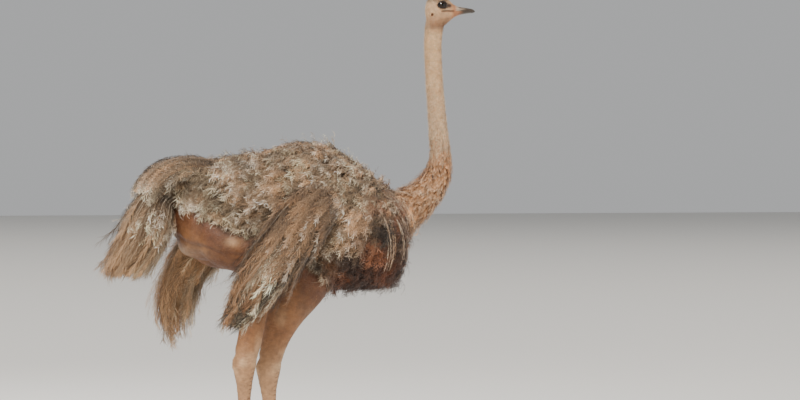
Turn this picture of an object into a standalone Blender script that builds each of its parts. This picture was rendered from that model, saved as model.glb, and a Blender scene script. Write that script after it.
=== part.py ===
"""A standing ostrich hen at life size, with both wings drooped and the neck held up.

The bird faces +X, its left side is +Y and it stands on the floor at Z = 0. Every sub-part is a closed
solid of its own: bodies are lofted along a path through a few named knots, feather masses end in lobes
for their plumes, and neighbours are parted by a thin gap. Lengths are metres.
"""

import math

import bmesh
import bpy
import numpy as np
from mathutils import Vector

GAP = 0.0003
# A cutter stands proud along its corners' normals, so it needs a little more than the gap.
CUTTER_PROUD = 1.4 * GAP
SIDE_AXIS = Vector((0, 1, 0))

# Driving dimensions of the bird.
EYE_HEIGHT = 1.857
EYE_FORWARD = 0.590
HOCK_HEIGHT = 0.492
LEG_SPREAD = 0.13
TARSUS_FOOT_HEIGHT = 0.052

# A knot is x, y, z of the path's centre, then the half size along Y and the half size across the path.
TRUNK = [
    (-0.470, 0, 1.075, 0.100, 0.110),
    (-0.410, 0, 1.085, 0.155, 0.172),
    (-0.280, 0, 1.085, 0.195, 0.200),
    (-0.130, 0, 1.085, 0.225, 0.222),
    (0.010, 0, 1.075, 0.245, 0.272),
    (0.120, 0, 1.058, 0.250, 0.284),
    (0.250, 0, 1.020, 0.236, 0.258),
    (0.350, 0, 0.985, 0.205, 0.215),
    (0.430, 0, 0.955, 0.160, 0.160),
    (0.474, 0, 0.930, 0.100, 0.100),
]
NECK = [
    (0.300, 0, 1.000, 0.150, 0.160),
    (0.395, 0, 1.048, 0.112, 0.116),
    (0.470, 0, 1.092, 0.080, 0.083),
    (0.535, 0, 1.145, 0.063, 0.067),
    (0.577, 0, 1.211, 0.055, 0.059),
    (0.590, 0, 1.268, 0.047, 0.050),
    (0.586, 0, 1.325, 0.037, 0.039),
    (0.581, 0, 1.381, 0.034, 0.036),
    (0.571, 0, 1.494, 0.033, 0.034),
    (0.563, 0, 1.608, 0.032, 0.034),
    (0.561, 0, 1.740, 0.031, 0.034),
    (0.567, 0, 1.790, 0.030, 0.036),
    (0.574, 0, 1.830, 0.027, 0.034),
]
TAIL = [
    (-0.330, 0, 1.190, 0.110, 0.060),
    (-0.430, 0, 1.195, 0.120, 0.075),
    (-0.510, 0, 1.150, 0.135, 0.092),
    (-0.550, 0, 1.060, 0.150, 0.110),
    (-0.590, 0, 0.966, 0.150, 0.112),
    (-0.625, 0, 0.890, 0.125, 0.085),
]
# The right wing hangs back and down beside the thigh, and the left one hangs lower behind it.
WING_RIGHT = [
    (0.190, -0.190, 1.140, 0.050, 0.075),
    (0.085, -0.260, 1.120, 0.058, 0.102),
    (-0.015, -0.308, 1.050, 0.058, 0.114),
    (-0.100, -0.342, 0.950, 0.054, 0.114),
    (-0.180, -0.360, 0.845, 0.050, 0.108),
    (-0.245, -0.368, 0.765, 0.043, 0.084),
    (-0.284, -0.372, 0.705, 0.032, 0.056),
]
WING_LEFT = [
    (0.190, 0.190, 1.140, 0.050, 0.075),
    (0.050, 0.270, 1.120, 0.056, 0.100),
    (-0.110, 0.325, 1.060, 0.056, 0.105),
    (-0.245, 0.354, 0.960, 0.054, 0.102),
    (-0.330, 0.366, 0.830, 0.050, 0.096),
    (-0.364, 0.372, 0.700, 0.044, 0.092),
    (-0.358, 0.374, 0.625, 0.034, 0.066),
]
THIGH = [
    (-0.400, 0.120, 1.020, 0.045, 0.070),
    (-0.330, 0.124, 1.010, 0.072, 0.120),
    (-0.200, 0.128, 0.985, 0.090, 0.140),
    (-0.050, 0.130, 0.940, 0.094, 0.132),
    (0.060, 0.130, 0.890, 0.090, 0.110),
    (0.130, 0.130, 0.850, 0.060, 0.068),
]
# Knots down a leg are offsets from its hock: forward, up, half width and half depth.
DRUMSTICK = [
    (0.215, 0.425, 0.070, 0.085),
    (0.148, 0.330, 0.085, 0.096),
    (0.085, 0.235, 0.070, 0.080),
    (0.040, 0.145, 0.052, 0.060),
    (0.017, 0.075, 0.040, 0.049),
    (0.004, 0.030, 0.037, 0.048),
]
TARSUS = [
    (0.000, 0.028, 0.037, 0.049),
    (-0.001, 0.000, 0.039, 0.051),
    (-0.001, -0.035, 0.034, 0.042),
    (0.000, -0.085, 0.024, 0.033),
]
TARSUS_FOOT = [(0.022, 0.028), (0.027, 0.032), (0.030, 0.034)]
HOCK_RIGHT_FORWARD = -0.113
HOCK_LEFT_FORWARD = -0.149
ANKLE_RIGHT_FORWARD = -0.085
ANKLE_LEFT_FORWARD = -0.160

# The head's knots are measured from the point between the eyes: forward, top, bottom and half width.
HEAD = [
    (-0.0600, 0.000, -0.034, 0.012),
    (-0.0520, 0.015, -0.056, 0.023),
    (-0.0350, 0.0280, -0.068, 0.0305),
    (-0.0120, 0.0335, -0.075, 0.0345),
    (0.0100, 0.0320, -0.076, 0.0350),
    (0.0300, 0.0225, -0.062, 0.0318),
    (0.0480, 0.0070, -0.0495, 0.0275),
    (0.0660, -0.0035, -0.0410, 0.0245),
    (0.0900, -0.0095, -0.0355, 0.0225),
    (0.1120, -0.0140, -0.0335, 0.0195),
    (0.1280, -0.0175, -0.0325, 0.0150),
    (0.1370, -0.0225, -0.0305, 0.0080),
]
BILL_BASE = 0.046
MOUTH_HEIGHT = -0.0255
MOUTH_CORNER = -0.006
MOUTH_OPENING = 0.0012
EYE_RADIUS = 0.0225
EYE_CENTRE_SIDE = 0.0158
EYE_FLAT_SIDE = 0.006
EAR_PLACE = (-0.040, 0.0285, -0.036)
EAR_SIZE = (0.0060, 0.0045, 0.0085)

# Toes: forward reach from the ankle, outward reach, half width and height.
MIDDLE_TOE = [
    (-0.040, 0.000, 0.026, 0.040),
    (-0.010, 0.000, 0.034, 0.062),
    (0.040, -0.002, 0.031, 0.050),
    (0.090, -0.004, 0.029, 0.040),
    (0.130, -0.005, 0.026, 0.034),
    (0.150, -0.005, 0.018, 0.024),
]
OUTER_TOE = [
    (0.000, 0.020, 0.018, 0.036),
    (0.035, 0.044, 0.020, 0.036),
    (0.070, 0.062, 0.018, 0.030),
    (0.098, 0.074, 0.012, 0.022),
]
SOLE_PRESS = 0.004
MIDDLE_CLAW = [
    (0.128, -0.005, 0.020, 0.013, 0.011),
    (0.155, -0.005, 0.021, 0.013, 0.010),
    (0.180, -0.004, 0.015, 0.009, 0.0075),
    (0.196, -0.003, 0.007, 0.003, 0.003),
]
OUTER_CLAW = [
    (0.086, 0.069, 0.015, 0.0065, 0.006),
    (0.101, 0.076, 0.015, 0.0065, 0.0055),
    (0.115, 0.081, 0.009, 0.003, 0.003),
]

# Plumes are lobes with a half width and a half thickness, and shares of those from root to tip.
WING_PLUMES = 5
WING_PLUME_SIZE = (0.044, 0.017)
WING_ROOT_SPAN = (0.35, 0.73)
WING_TIP_SPAN = (0.66, 1.00)
WING_TIP_FRONT = (0.95, -0.10)
WING_TIP_REACH = (0.030, 0.080)
WING_ROOT_FRONT = 0.25
WING_BOW = 0.010
TAIL_PLUMES = 7
TAIL_PLUME_SIZE = (0.066, 0.034)
TAIL_ROOT = (-0.545, 0.085, 1.080)
TAIL_TIP = (-0.695, 0.165, 0.790)
TAIL_ROOT_FORWARD = 0.035
TAIL_TIP_FORWARD = 0.125
TAIL_TIP_RISE = 0.075
TAIL_TIP_STAGGER = 0.020
TAIL_BOW = (-0.012, -0.030, 0.024)
PLUME_SHARES = (0.55, 1.0, 0.80, 0.18)
PLUME_SHOULDER = 0.80

CLAW_CLEARANCE = 0.002
# Cutting boxes reach this far past what they cut.
CUTTER_REACH = 0.1

COLOURS = {
    "plumage": ((0.36, 0.27, 0.19), 0.9),
    "plume_tan": ((0.48, 0.34, 0.23), 0.9),
    "down": ((0.62, 0.48, 0.37), 0.85),
    "skin": ((0.55, 0.36, 0.24), 0.7),
    "scale": ((0.55, 0.40, 0.29), 0.6),
    "horn": ((0.18, 0.13, 0.08), 0.4),
    "eye": ((0.02, 0.012, 0.008), 0.05),
}


def clear_scene():
    for existing in list(bpy.data.objects):
        bpy.data.objects.remove(existing)


def material(name):
    colour, roughness = COLOURS[name]
    made = bpy.data.materials.get(name) or bpy.data.materials.new(name)
    made.use_nodes = True
    shader = made.node_tree.nodes["Principled BSDF"]
    shader.inputs["Base Color"].default_value = (*colour, 1)
    shader.inputs["Roughness"].default_value = roughness
    shader.inputs["Metallic"].default_value = 0
    return made


def smooth_values(knots, count):
    """The knots read at count even steps of a smooth curve through them, spaced by the path's length."""
    table = np.array(knots, float)
    steps = np.linalg.norm(np.diff(table[:, :3], axis=0), axis=1)
    along = np.concatenate([[0], np.cumsum(steps)])
    slopes = np.gradient(table, along, axis=0)
    at = np.linspace(0, along[-1], count)
    span = np.clip(np.searchsorted(along, at, side="right") - 1, 0, len(along) - 2)
    width = along[span + 1] - along[span]
    t = ((at - along[span]) / width)[:, None]
    width = width[:, None]
    return (
        (2 * t**3 - 3 * t**2 + 1) * table[span]
        + (t**3 - 2 * t**2 + t) * width * slopes[span]
        + (3 * t**2 - 2 * t**3) * table[span + 1]
        + (t**3 - t**2) * width * slopes[span + 1]
    )


def end_factor(step, count, start_round, end_round):
    """How far a ring is drawn in to round off the path's two ends, as a share of its size."""
    u = step / (count - 1)
    if start_round and u < start_round:
        return math.sqrt(max(0.0, 1 - (1 - u / start_round) ** 2))
    if end_round and u > 1 - end_round:
        return math.sqrt(max(0.0, 1 - (1 - (1 - u) / end_round) ** 2))
    return 1.0


def section(centre, side, up, half_side, half_up, sides, power):
    """A closed ring of points: a superellipse about centre, with this power (2 is an ellipse)."""
    ring = []
    for k in range(sides):
        angle = 2 * math.pi * k / sides
        c, s = math.cos(angle), math.sin(angle)
        across = math.copysign(abs(c) ** (2 / power), c) * half_side
        rise = math.copysign(abs(s) ** (2 / power), s) * half_up
        ring.append(centre + side * across + up * rise)
    return ring


def skin_rings(rings, closed_start, closed_end):
    """A bmesh over rings of points. An end ring that is closed becomes its single middle point."""
    made = bmesh.new()
    loops = []
    for number, ring in enumerate(rings):
        single = (number == 0 and closed_start) or (number == len(rings) - 1 and closed_end)
        points = [sum(ring, Vector()) / len(ring)] if single else ring
        loops.append([made.verts.new(p) for p in points])
    for first, second in zip(loops, loops[1:]):
        count = max(len(first), len(second))
        for k in range(count):
            corners = [first[k % len(first)], first[(k + 1) % len(first)]]
            corners += [second[(k + 1) % len(second)], second[k % len(second)]]
            made.faces.new(list(dict.fromkeys(corners)))
    for loop in (loops[0], loops[-1]):
        if len(loop) > 1:
            made.faces.new(loop)
    bmesh.ops.triangulate(made, faces=made.faces)
    bmesh.ops.recalc_face_normals(made, faces=made.faces)
    return made


def add_object(name, shape, colour):
    mesh = bpy.data.meshes.new(name)
    shape.to_mesh(mesh)
    shape.free()
    mesh.shade_smooth()
    made = bpy.data.objects.new(name, mesh)
    bpy.context.scene.collection.objects.link(made)
    made.data.materials.append(material(colour))
    return made


def loft(name, knots, colour, rings, sides, rounded=(0, 0), power=2.0, upright=False, floor=None):
    """A body along a path of knots. Upright sections keep their planes across X."""
    values = smooth_values(knots, rings)
    sections = []
    for step, (x, y, z, half_side, half_up) in enumerate(values):
        ahead = values[min(step + 1, rings - 1)][:3] - values[max(step - 1, 0)][:3]
        along = Vector((1, 0, 0)) if upright else Vector(ahead).normalized()
        side = (SIDE_AXIS - along * along.dot(SIDE_AXIS)).normalized()
        up = along.cross(side)
        drawn_in = end_factor(step, rings, *rounded)
        ring = section(Vector((x, y, z)), side, up, half_side * drawn_in, half_up * drawn_in, sides, power)
        if floor is not None:
            for point in ring:
                point.z = max(point.z, floor)
        sections.append(ring)
    shape = skin_rings(sections, rounded[0] > 0, rounded[1] > 0)
    return add_object(name, shape, colour)


def hide(helper):
    helper.hide_render = True
    helper.display_type = "WIRE"


def inflated(body):
    """A hidden copy of a body that stands the gap proud of it, to cut its neighbours with."""
    name = f"clear_{body.name}"
    if name in bpy.data.objects:
        return bpy.data.objects[name]
    shape = bmesh.new()
    shape.from_mesh(body.data)
    shape.normal_update()
    moved = [v.co + v.normal * CUTTER_PROUD for v in shape.verts]
    for vertex, place in zip(shape.verts, moved):
        vertex.co = place
    made = add_object(name, shape, "plumage")
    hide(made)
    return made


def combine(body, other, operation):
    modifier = body.modifiers.new(f"{operation}_{other.name}", "BOOLEAN")
    modifier.operation = operation
    modifier.solver = "EXACT"
    modifier.object = other


def part_from(body, *neighbours):
    """Cuts away what the body shares with its neighbours, and the gap round them."""
    for neighbour in neighbours:
        combine(body, inflated(neighbour), "DIFFERENCE")


def box(name, low, high):
    shape = bmesh.new()
    bmesh.ops.create_cube(shape, size=1)
    size = Vector(high) - Vector(low)
    middle = (Vector(high) + Vector(low)) / 2
    for vertex in shape.verts:
        vertex.co = Vector([c * s for c, s in zip(vertex.co, size)]) + middle
    made = add_object(name, shape, "horn")
    hide(made)
    return made


def ellipsoid(name, centre, size, colour, sides=16, rings=10):
    shape = bmesh.new()
    bmesh.ops.create_uvsphere(shape, u_segments=sides, v_segments=rings, radius=1)
    for vertex in shape.verts:
        vertex.co = Vector([c * s for c, s in zip(vertex.co, size)]) + Vector(centre)
    return add_object(name, shape, colour)


def plume(name, root, tip, bow, half_width, half_thickness):
    """A hidden leaf-shaped lobe from root to tip, which bows out at its middle."""
    root, tip = Vector(root), Vector(tip)
    middle = (root + tip) / 2 + bow
    shoulder = root.lerp(tip, PLUME_SHOULDER) + bow * 0.4
    knots = [
        (*place, half_thickness * share, half_width * share)
        for place, share in zip((root, middle, shoulder, tip), PLUME_SHARES)
    ]
    made = loft(name, knots, "plume_tan", rings=6, sides=6, rounded=(0, 0.25))
    hide(made)
    return made


def between(span, share):
    return span[0] + (span[1] - span[0]) * share


def wing(name, knots, hand):
    """A drooped wing: the arm with its coverts, and plumes along its lower front edge and at its tip."""
    made = loft(name, knots, "plume_tan", rings=11, sides=12, rounded=(0.12, 0.12), power=2.2)
    steps = 40
    path = smooth_values(knots, steps + 1)
    for k in range(WING_PLUMES):
        share = k / (WING_PLUMES - 1)
        start = round(steps * between(WING_ROOT_SPAN, share))
        stop = round(steps * between(WING_TIP_SPAN, share))
        along = Vector(path[stop][:3] - path[stop - 3][:3]).normalized()
        front = Vector((-along.z, 0, along.x))
        root = Vector(path[start][:3]) + front * path[start][4] * WING_ROOT_FRONT
        tip = Vector(path[stop][:3]) + front * path[stop][4] * between(WING_TIP_FRONT, share**2)
        tip += along * between(WING_TIP_REACH, share) + SIDE_AXIS * hand * WING_BOW
        made_plume = plume(f"{name}_plume_{k}", root, tip, front * WING_BOW, *WING_PLUME_SIZE)
        combine(made, made_plume, "UNION")
    return made


def tail():
    """The drooping bunch of tail plumes. Its outer plumes are shorter and hang further forward."""
    made = loft("tail", TAIL, "plume_tan", rings=9, sides=14, rounded=(0, 0.2), power=2.3)
    root_forward, root_side, root_height = TAIL_ROOT
    tip_forward, tip_side, tip_height = TAIL_TIP
    bow_back, bow_middle, bow_side = TAIL_BOW
    for k in range(TAIL_PLUMES):
        fan = 2 * k / (TAIL_PLUMES - 1) - 1
        root = (root_forward + TAIL_ROOT_FORWARD * fan**2, root_side * fan, root_height)
        rise = TAIL_TIP_RISE * abs(fan) + TAIL_TIP_STAGGER * (k % 2)
        tip = (tip_forward + TAIL_TIP_FORWARD * fan**2, tip_side * fan, tip_height + rise)
        bow = Vector((bow_back + bow_middle * (1 - fan**2), bow_side * fan, 0))
        combine(made, plume(f"tail_plume_{k}", root, tip, bow, *TAIL_PLUME_SIZE), "UNION")
    return made


def neck_lengths():
    """The neck in three lengths that meet at cross sections of one path."""
    rings_per_length = 8
    count = 3 * (rings_per_length - 1) + 1
    values = smooth_values(NECK, count)
    names = ("neck_base", "neck_middle", "neck_upper")
    made = []
    for number, name in enumerate(names):
        first = number * (rings_per_length - 1)
        knots = [tuple(v) for v in values[first : first + rings_per_length]]
        made.append(loft(name, knots, "down", rings_per_length, 16))
    for lower, upper in zip(made, made[1:]):
        part_from(upper, lower)
    return made


def head_solid(name, colour):
    """The whole head with its bill, before it is parted."""
    knots = [
        (EYE_FORWARD + x, 0, EYE_HEIGHT + (top + bottom) / 2, half, (top - bottom) / 2)
        for x, top, bottom, half in HEAD
    ]
    return loft(name, knots, colour, rings=23, sides=18, rounded=(0.05, 0.05), power=2.25, upright=True)


def head_and_bill():
    """The head with its mouth slit, and the upper and lower bill in front of it."""
    head = head_solid("head", "down")
    upper = head_solid("bill_upper", "horn")
    lower = head_solid("bill_lower", "horn")
    base = EYE_FORWARD + BILL_BASE
    mouth = EYE_HEIGHT + MOUTH_HEIGHT
    wide = CUTTER_REACH
    back, far = base - 2 * CUTTER_REACH, base + 2 * CUTTER_REACH
    bottom, top = mouth - CUTTER_REACH, mouth + CUTTER_REACH
    half = MOUTH_OPENING / 2
    corner = EYE_FORWARD + MOUTH_CORNER
    behind = box("behind_bill", (back, -wide, bottom), (base + GAP, wide, top))
    ahead = box("ahead_of_head", (base, -wide, bottom), (far, wide, top))
    below = box("below_mouth", (back, -wide, bottom), (far, wide, mouth + half))
    above = box("above_mouth", (back, -wide, mouth - half), (far, wide, top))
    slit = box("mouth_slit", (corner, -wide, mouth - half), (far, wide, mouth + half))
    combine(head, ahead, "DIFFERENCE")
    combine(head, slit, "DIFFERENCE")
    for bill, other_half in ((upper, below), (lower, above)):
        combine(bill, behind, "DIFFERENCE")
        combine(bill, other_half, "DIFFERENCE")
    return head, upper, lower


def eyes_and_ears(head):
    """Eyeballs with a flat back, and the ear openings' plugs, let into the head on both sides."""
    for side_name, hand in (("left", 1), ("right", -1)):
        centre = (EYE_FORWARD, hand * EYE_CENTRE_SIDE, EYE_HEIGHT)
        eye = ellipsoid(f"eye_{side_name}", centre, (EYE_RADIUS,) * 3, "eye", sides=14, rings=8)
        reach = CUTTER_REACH
        inner = sorted((hand * EYE_FLAT_SIDE, -hand * reach))
        low = (EYE_FORWARD - reach, inner[0], EYE_HEIGHT - reach)
        high = (EYE_FORWARD + reach, inner[1], EYE_HEIGHT + reach)
        combine(eye, box(f"behind_eye_{side_name}", low, high), "DIFFERENCE")
        socket_flat = sorted((hand * (EYE_FLAT_SIDE - GAP), -hand * reach))
        socket = inflated(eye)
        low = (low[0], socket_flat[0], low[2])
        high = (high[0], socket_flat[1], high[2])
        combine(socket, box(f"behind_socket_{side_name}", low, high), "DIFFERENCE")
        combine(head, socket, "DIFFERENCE")
        x, y, z = EAR_PLACE
        place = (EYE_FORWARD + x, hand * y, EYE_HEIGHT + z)
        ear = ellipsoid(f"ear_{side_name}", place, EAR_SIZE, "skin", sides=8, rings=5)
        part_from(head, ear)


def toe_knots(table, ankle, hand):
    """The path of a toe, sunk a little so that the floor flattens its sole."""
    return [
        (ankle.x + x, ankle.y + hand * y, height / 2 - SOLE_PRESS, half, height / 2)
        for x, y, half, height in table
    ]


def claw_knots(table, ankle, hand):
    return [(ankle.x + x, ankle.y + hand * y, z, half, rise) for x, y, z, half, rise in table]


def leg(side_name, hand, hock_forward, ankle_forward, trunk):
    """Thigh, drumstick, shank and two toes with their claws, from the body down to the floor."""
    spread = hand * LEG_SPREAD
    hock = Vector((hock_forward, spread, HOCK_HEIGHT))
    ankle = Vector((ankle_forward, spread, TARSUS_FOOT_HEIGHT))

    thigh_knots = [(x, hand * y, z, side, up) for x, y, z, side, up in THIGH]
    thigh = loft(f"thigh_{side_name}", thigh_knots, "skin", 12, 16, rounded=(0.16, 0.16))
    part_from(trunk, thigh)

    drum_knots = [(hock.x + x, hock.y, hock.z + z, side, up) for x, z, side, up in DRUMSTICK]
    drumstick = loft(f"drumstick_{side_name}", drum_knots, "skin", 10, 12, rounded=(0.12, 0))

    shank_knots = [(hock.x + x, hock.y, hock.z + z, side, up) for x, z, side, up in TARSUS]
    last = Vector(shank_knots[-1][:3])
    for number, (side, up) in enumerate(TARSUS_FOOT):
        share = (number + 1) / len(TARSUS_FOOT)
        shank_knots.append((*last.lerp(ankle, share), side, up))
    shank = loft(f"shank_{side_name}", shank_knots, "scale", 14, 11)
    part_from(drumstick, shank, thigh, trunk)

    middle_knots = toe_knots(MIDDLE_TOE, ankle, hand)
    outer_knots = toe_knots(OUTER_TOE, ankle, hand)
    middle = loft(f"toe_middle_{side_name}", middle_knots, "scale", 10, 10, (0.12, 0.14), 2.6, floor=0)
    outer = loft(f"toe_outer_{side_name}", outer_knots, "scale", 8, 8, (0.14, 0.18), 2.6, floor=0)
    middle_tip = claw_knots(MIDDLE_CLAW, ankle, hand)
    outer_tip = claw_knots(OUTER_CLAW, ankle, hand)
    lift = CLAW_CLEARANCE
    middle_claw = loft(f"claw_middle_{side_name}", middle_tip, "horn", 7, 8, (0, 0.15), floor=lift)
    outer_claw = loft(f"claw_outer_{side_name}", outer_tip, "horn", 5, 8, (0, 0.2), floor=lift)
    part_from(shank, middle)
    part_from(outer, middle, shank)
    part_from(middle, middle_claw)
    part_from(outer, outer_claw)
    return thigh, drumstick, shank


def centre_on_floor():
    """Moves the whole bird so that the middle of its outline stands over the origin."""
    bpy.context.view_layer.update()
    view = bpy.context.evaluated_depsgraph_get()
    shown = [o for o in bpy.context.scene.objects if o.type == "MESH" and not o.hide_render]
    corners = [Vector(c) for o in shown for c in o.evaluated_get(view).bound_box]
    middle = [(min(c[i] for c in corners) + max(c[i] for c in corners)) / 2 for i in range(2)]
    stand = bpy.data.objects.new("ostrich", None)
    bpy.context.scene.collection.objects.link(stand)
    for body in [o for o in bpy.context.scene.objects if o.type == "MESH"]:
        body.parent = stand
    stand.location = (-middle[0], -middle[1], 0)


def build():
    clear_scene()
    trunk = loft("trunk", TRUNK, "plumage", 17, 20, rounded=(0.07, 0.07), power=2.15, upright=True)
    legs = leg("right", -1, HOCK_RIGHT_FORWARD, ANKLE_RIGHT_FORWARD, trunk)
    legs += leg("left", 1, HOCK_LEFT_FORWARD, ANKLE_LEFT_FORWARD, trunk)
    thighs = (legs[0], legs[3])
    lengths = neck_lengths()
    head, _, _ = head_and_bill()
    eyes_and_ears(head)
    part_from(lengths[0], trunk)
    part_from(lengths[-1], head)
    part_from(tail(), trunk, *thighs)
    part_from(wing("wing_right", WING_RIGHT, -1), trunk, *thighs)
    part_from(wing("wing_left", WING_LEFT, 1), trunk, *thighs)
    centre_on_floor()


build()
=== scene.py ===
"""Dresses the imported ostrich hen: one skin, bill, eyes, claws, and feathers of solid mesh."""

import math

import bmesh
import bpy
import numpy as np
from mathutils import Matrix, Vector
from mathutils.bvhtree import BVHTree


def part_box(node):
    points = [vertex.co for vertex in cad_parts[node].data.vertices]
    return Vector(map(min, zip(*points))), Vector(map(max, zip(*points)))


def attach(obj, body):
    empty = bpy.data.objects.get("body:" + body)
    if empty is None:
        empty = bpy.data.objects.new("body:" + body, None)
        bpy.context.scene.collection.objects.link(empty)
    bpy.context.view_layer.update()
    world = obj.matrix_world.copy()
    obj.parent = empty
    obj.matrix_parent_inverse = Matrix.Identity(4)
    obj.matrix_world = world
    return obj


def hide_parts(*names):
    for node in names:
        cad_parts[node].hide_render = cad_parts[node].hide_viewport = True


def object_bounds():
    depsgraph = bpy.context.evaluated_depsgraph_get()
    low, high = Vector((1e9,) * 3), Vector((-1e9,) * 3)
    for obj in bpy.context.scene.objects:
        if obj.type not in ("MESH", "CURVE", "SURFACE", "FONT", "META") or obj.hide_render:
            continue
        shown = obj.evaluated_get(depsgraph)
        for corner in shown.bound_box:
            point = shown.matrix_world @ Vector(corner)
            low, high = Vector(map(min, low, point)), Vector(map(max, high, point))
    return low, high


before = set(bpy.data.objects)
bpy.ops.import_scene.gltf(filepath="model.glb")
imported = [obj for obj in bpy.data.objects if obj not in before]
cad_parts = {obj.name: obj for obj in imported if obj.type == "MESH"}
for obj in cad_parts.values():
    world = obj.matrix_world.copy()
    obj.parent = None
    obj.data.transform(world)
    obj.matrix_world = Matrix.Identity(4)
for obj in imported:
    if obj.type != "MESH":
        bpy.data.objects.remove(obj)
CAD_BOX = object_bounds()

SIDES = {"right": -1, "left": 1}
UP = np.array([0.0, 0.0, 1.0])

# The eyes give the head's place: every size on the head is measured from the point between them.
eye_low, eye_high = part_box("eye_right")
EYE_RADIUS = (eye_high.x - eye_low.x) / 2
EYE_MIDDLE = np.array([(eye_low.x + eye_high.x) / 2, 0, (eye_low.z + eye_high.z) / 2])
EYE_SIDE = -eye_low.y - EYE_RADIUS
# The same point in the solids' own build frame, which the knots below are in, and how far that is off.
EYE_BUILT = np.array([0.590, 0, 1.857])
SHIFT = EYE_MIDDLE - EYE_BUILT

TRUNK_VOXEL, SKIN_VOXEL, HEAD_VOXEL = 0.006, 0.0067, 0.0016
# A coat piece's most triangles, and the side of a tuft's patch on its OFBake map.
PIECE_TRIANGLES = 180000
PATCH = 0.003
# Turns the three whole numbers of a cell into one.
CELL_KEY = np.array([1, 4001, 16008001])

# Colours as they look on screen, 0 to 255.
PALETTE = {
    "dark_brown": (46, 29, 18),
    "olive_grey": (72, 62, 46),
    "olive_pale": (172, 166, 132),
    "grey_brown": (112, 90, 68),
    "tan": (172, 134, 97),
    "rust": (140, 72, 30),
    "silver": (218, 207, 190),
    "cream": (232, 214, 186),
    "off_white": (240, 224, 192),
    "orange_tan": (190, 134, 84),
    "bare_skin": (92, 55, 30),
    "flank": (120, 78, 44),
    "neck_skin": (206, 166, 118),
    "head_skin": (190, 148, 108),
    "throat": (156, 106, 70),
    "leg": (146, 99, 61),
    "leg_pale": (200, 162, 122),
    "leg_dark": (92, 54, 32),
    "lid": (40, 27, 20),
    "horn_pale": (172, 150, 128),
    "horn_dark": (54, 43, 31),
    "horn_warm": (158, 102, 64),
}


def linear(colour):
    """A colour of the palette, by name, in linear light. Colours that are numbers stay as they are."""
    if not isinstance(colour, str):
        return np.asarray(colour)
    value = np.array(PALETTE[colour], float) / 255
    return np.where(value <= 0.04045, value / 12.92, ((value + 0.055) / 1.055) ** 2.4)


def mix(a, b, share):
    share = np.asarray(share)
    while share.ndim < max(np.ndim(a), np.ndim(b)):
        share = share[..., None]
    return a * (1 - share) + b * share


def dye(a, b, share):
    """Mixes two colours by one share for each point."""
    return mix(linear(a), linear(b), np.asarray(share, float)[..., None])


def layered(colour, *layers):
    """A colour with others over it in turn, each with its share for each point."""
    for over, share in layers:
        colour = dye(colour, over, share)
    return colour


def step(low, high, value):
    """0 below low, 1 above high and smooth between them. low may be the larger, which turns it round."""
    t = np.clip((value - low) / (high - low), 0, 1)
    return t * t * (3 - 2 * t)


def bump(value, centre, width):
    return np.exp(-(((value - centre) / width) ** 2))


def unit(v):
    return v / np.maximum(np.linalg.norm(v, axis=-1, keepdims=True), 1e-9)


def dot(a, b):
    return np.sum(a * b, axis=-1)


def vectors(x, y, z):
    """A vector for each point, from arrays or single numbers."""
    return np.stack(np.broadcast_arrays(x, y, z), axis=-1)


def noise(points, size, seed):
    """Smooth noise from -1 to 1 with features of this size, at each point."""
    p = np.asarray(points, float) / size + 57.3 * (seed + 1)
    cell = np.floor(p).astype(np.int64)
    t = p - cell
    t = t * t * (3 - 2 * t)
    total = np.zeros(p.shape[:-1])
    for corner in range(8):
        offset = np.array([corner & 1, corner >> 1 & 1, corner >> 2 & 1])
        x, y, z = np.moveaxis(cell + offset, -1, 0)
        # Large odd numbers scramble the cell's place into a number without a pattern.
        mixed = (x * 73856093) ^ (y * 19349663) ^ (z * 83492791) ^ (seed * 2654435)
        mixed = (mixed * 1274126177) & 0xFFFFFFFF
        mixed = ((mixed ^ (mixed >> 15)) * 2246822519) & 0xFFFFFFFF
        value = ((mixed ^ (mixed >> 13)) & 0xFFFF) / 32767.5 - 1
        total += value * np.prod(np.where(offset, t, 1 - t), axis=-1)
    return total


def patchy(points, size, seed):
    """The same noise, from 0 to 1."""
    return 0.5 + 0.5 * noise(points, size, seed)


# ---------------------------------------------------------------- meshes


def mesh_object(name, points, faces, smooth=True):
    """faces is a list of integer arrays, one for each number of corners."""
    mesh = bpy.data.meshes.new(name)
    mesh.vertices.add(len(points))
    mesh.vertices.foreach_set("co", np.asarray(points, np.float32).ravel())
    corners = np.concatenate([f.ravel() for f in faces]).astype(np.int32)
    totals = np.concatenate([np.full(len(f), f.shape[1], np.int32) for f in faces])
    mesh.loops.add(len(corners))
    mesh.loops.foreach_set("vertex_index", corners)
    mesh.polygons.add(len(totals))
    starts = np.concatenate([[0], np.cumsum(totals)[:-1]]).astype(np.int32)
    mesh.polygons.foreach_set("loop_start", starts)
    mesh.polygons.foreach_set("loop_total", totals)
    mesh.update(calc_edges=True)
    mesh.validate()
    if smooth:
        mesh.shade_smooth()
    return link(name, mesh)


def link(name, mesh):
    made = bpy.data.objects.new(name, mesh)
    bpy.context.scene.collection.objects.link(made)
    return made


def numbers(values, name, width, kind=np.float32):
    found = np.empty(len(values) * width, kind)
    values.foreach_get(name, found)
    return found.reshape(-1, width)


def positions(mesh):
    return numbers(mesh.vertices, "co", 3).astype(float)


def normals(mesh):
    return numbers(mesh.vertex_normals, "vector", 3).astype(float)


def edges(mesh):
    return numbers(mesh.edges, "vertices", 2, np.int32)


def move_to(mesh, points):
    mesh.vertices.foreach_set("co", np.asarray(points, np.float32).ravel())
    mesh.update()


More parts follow.
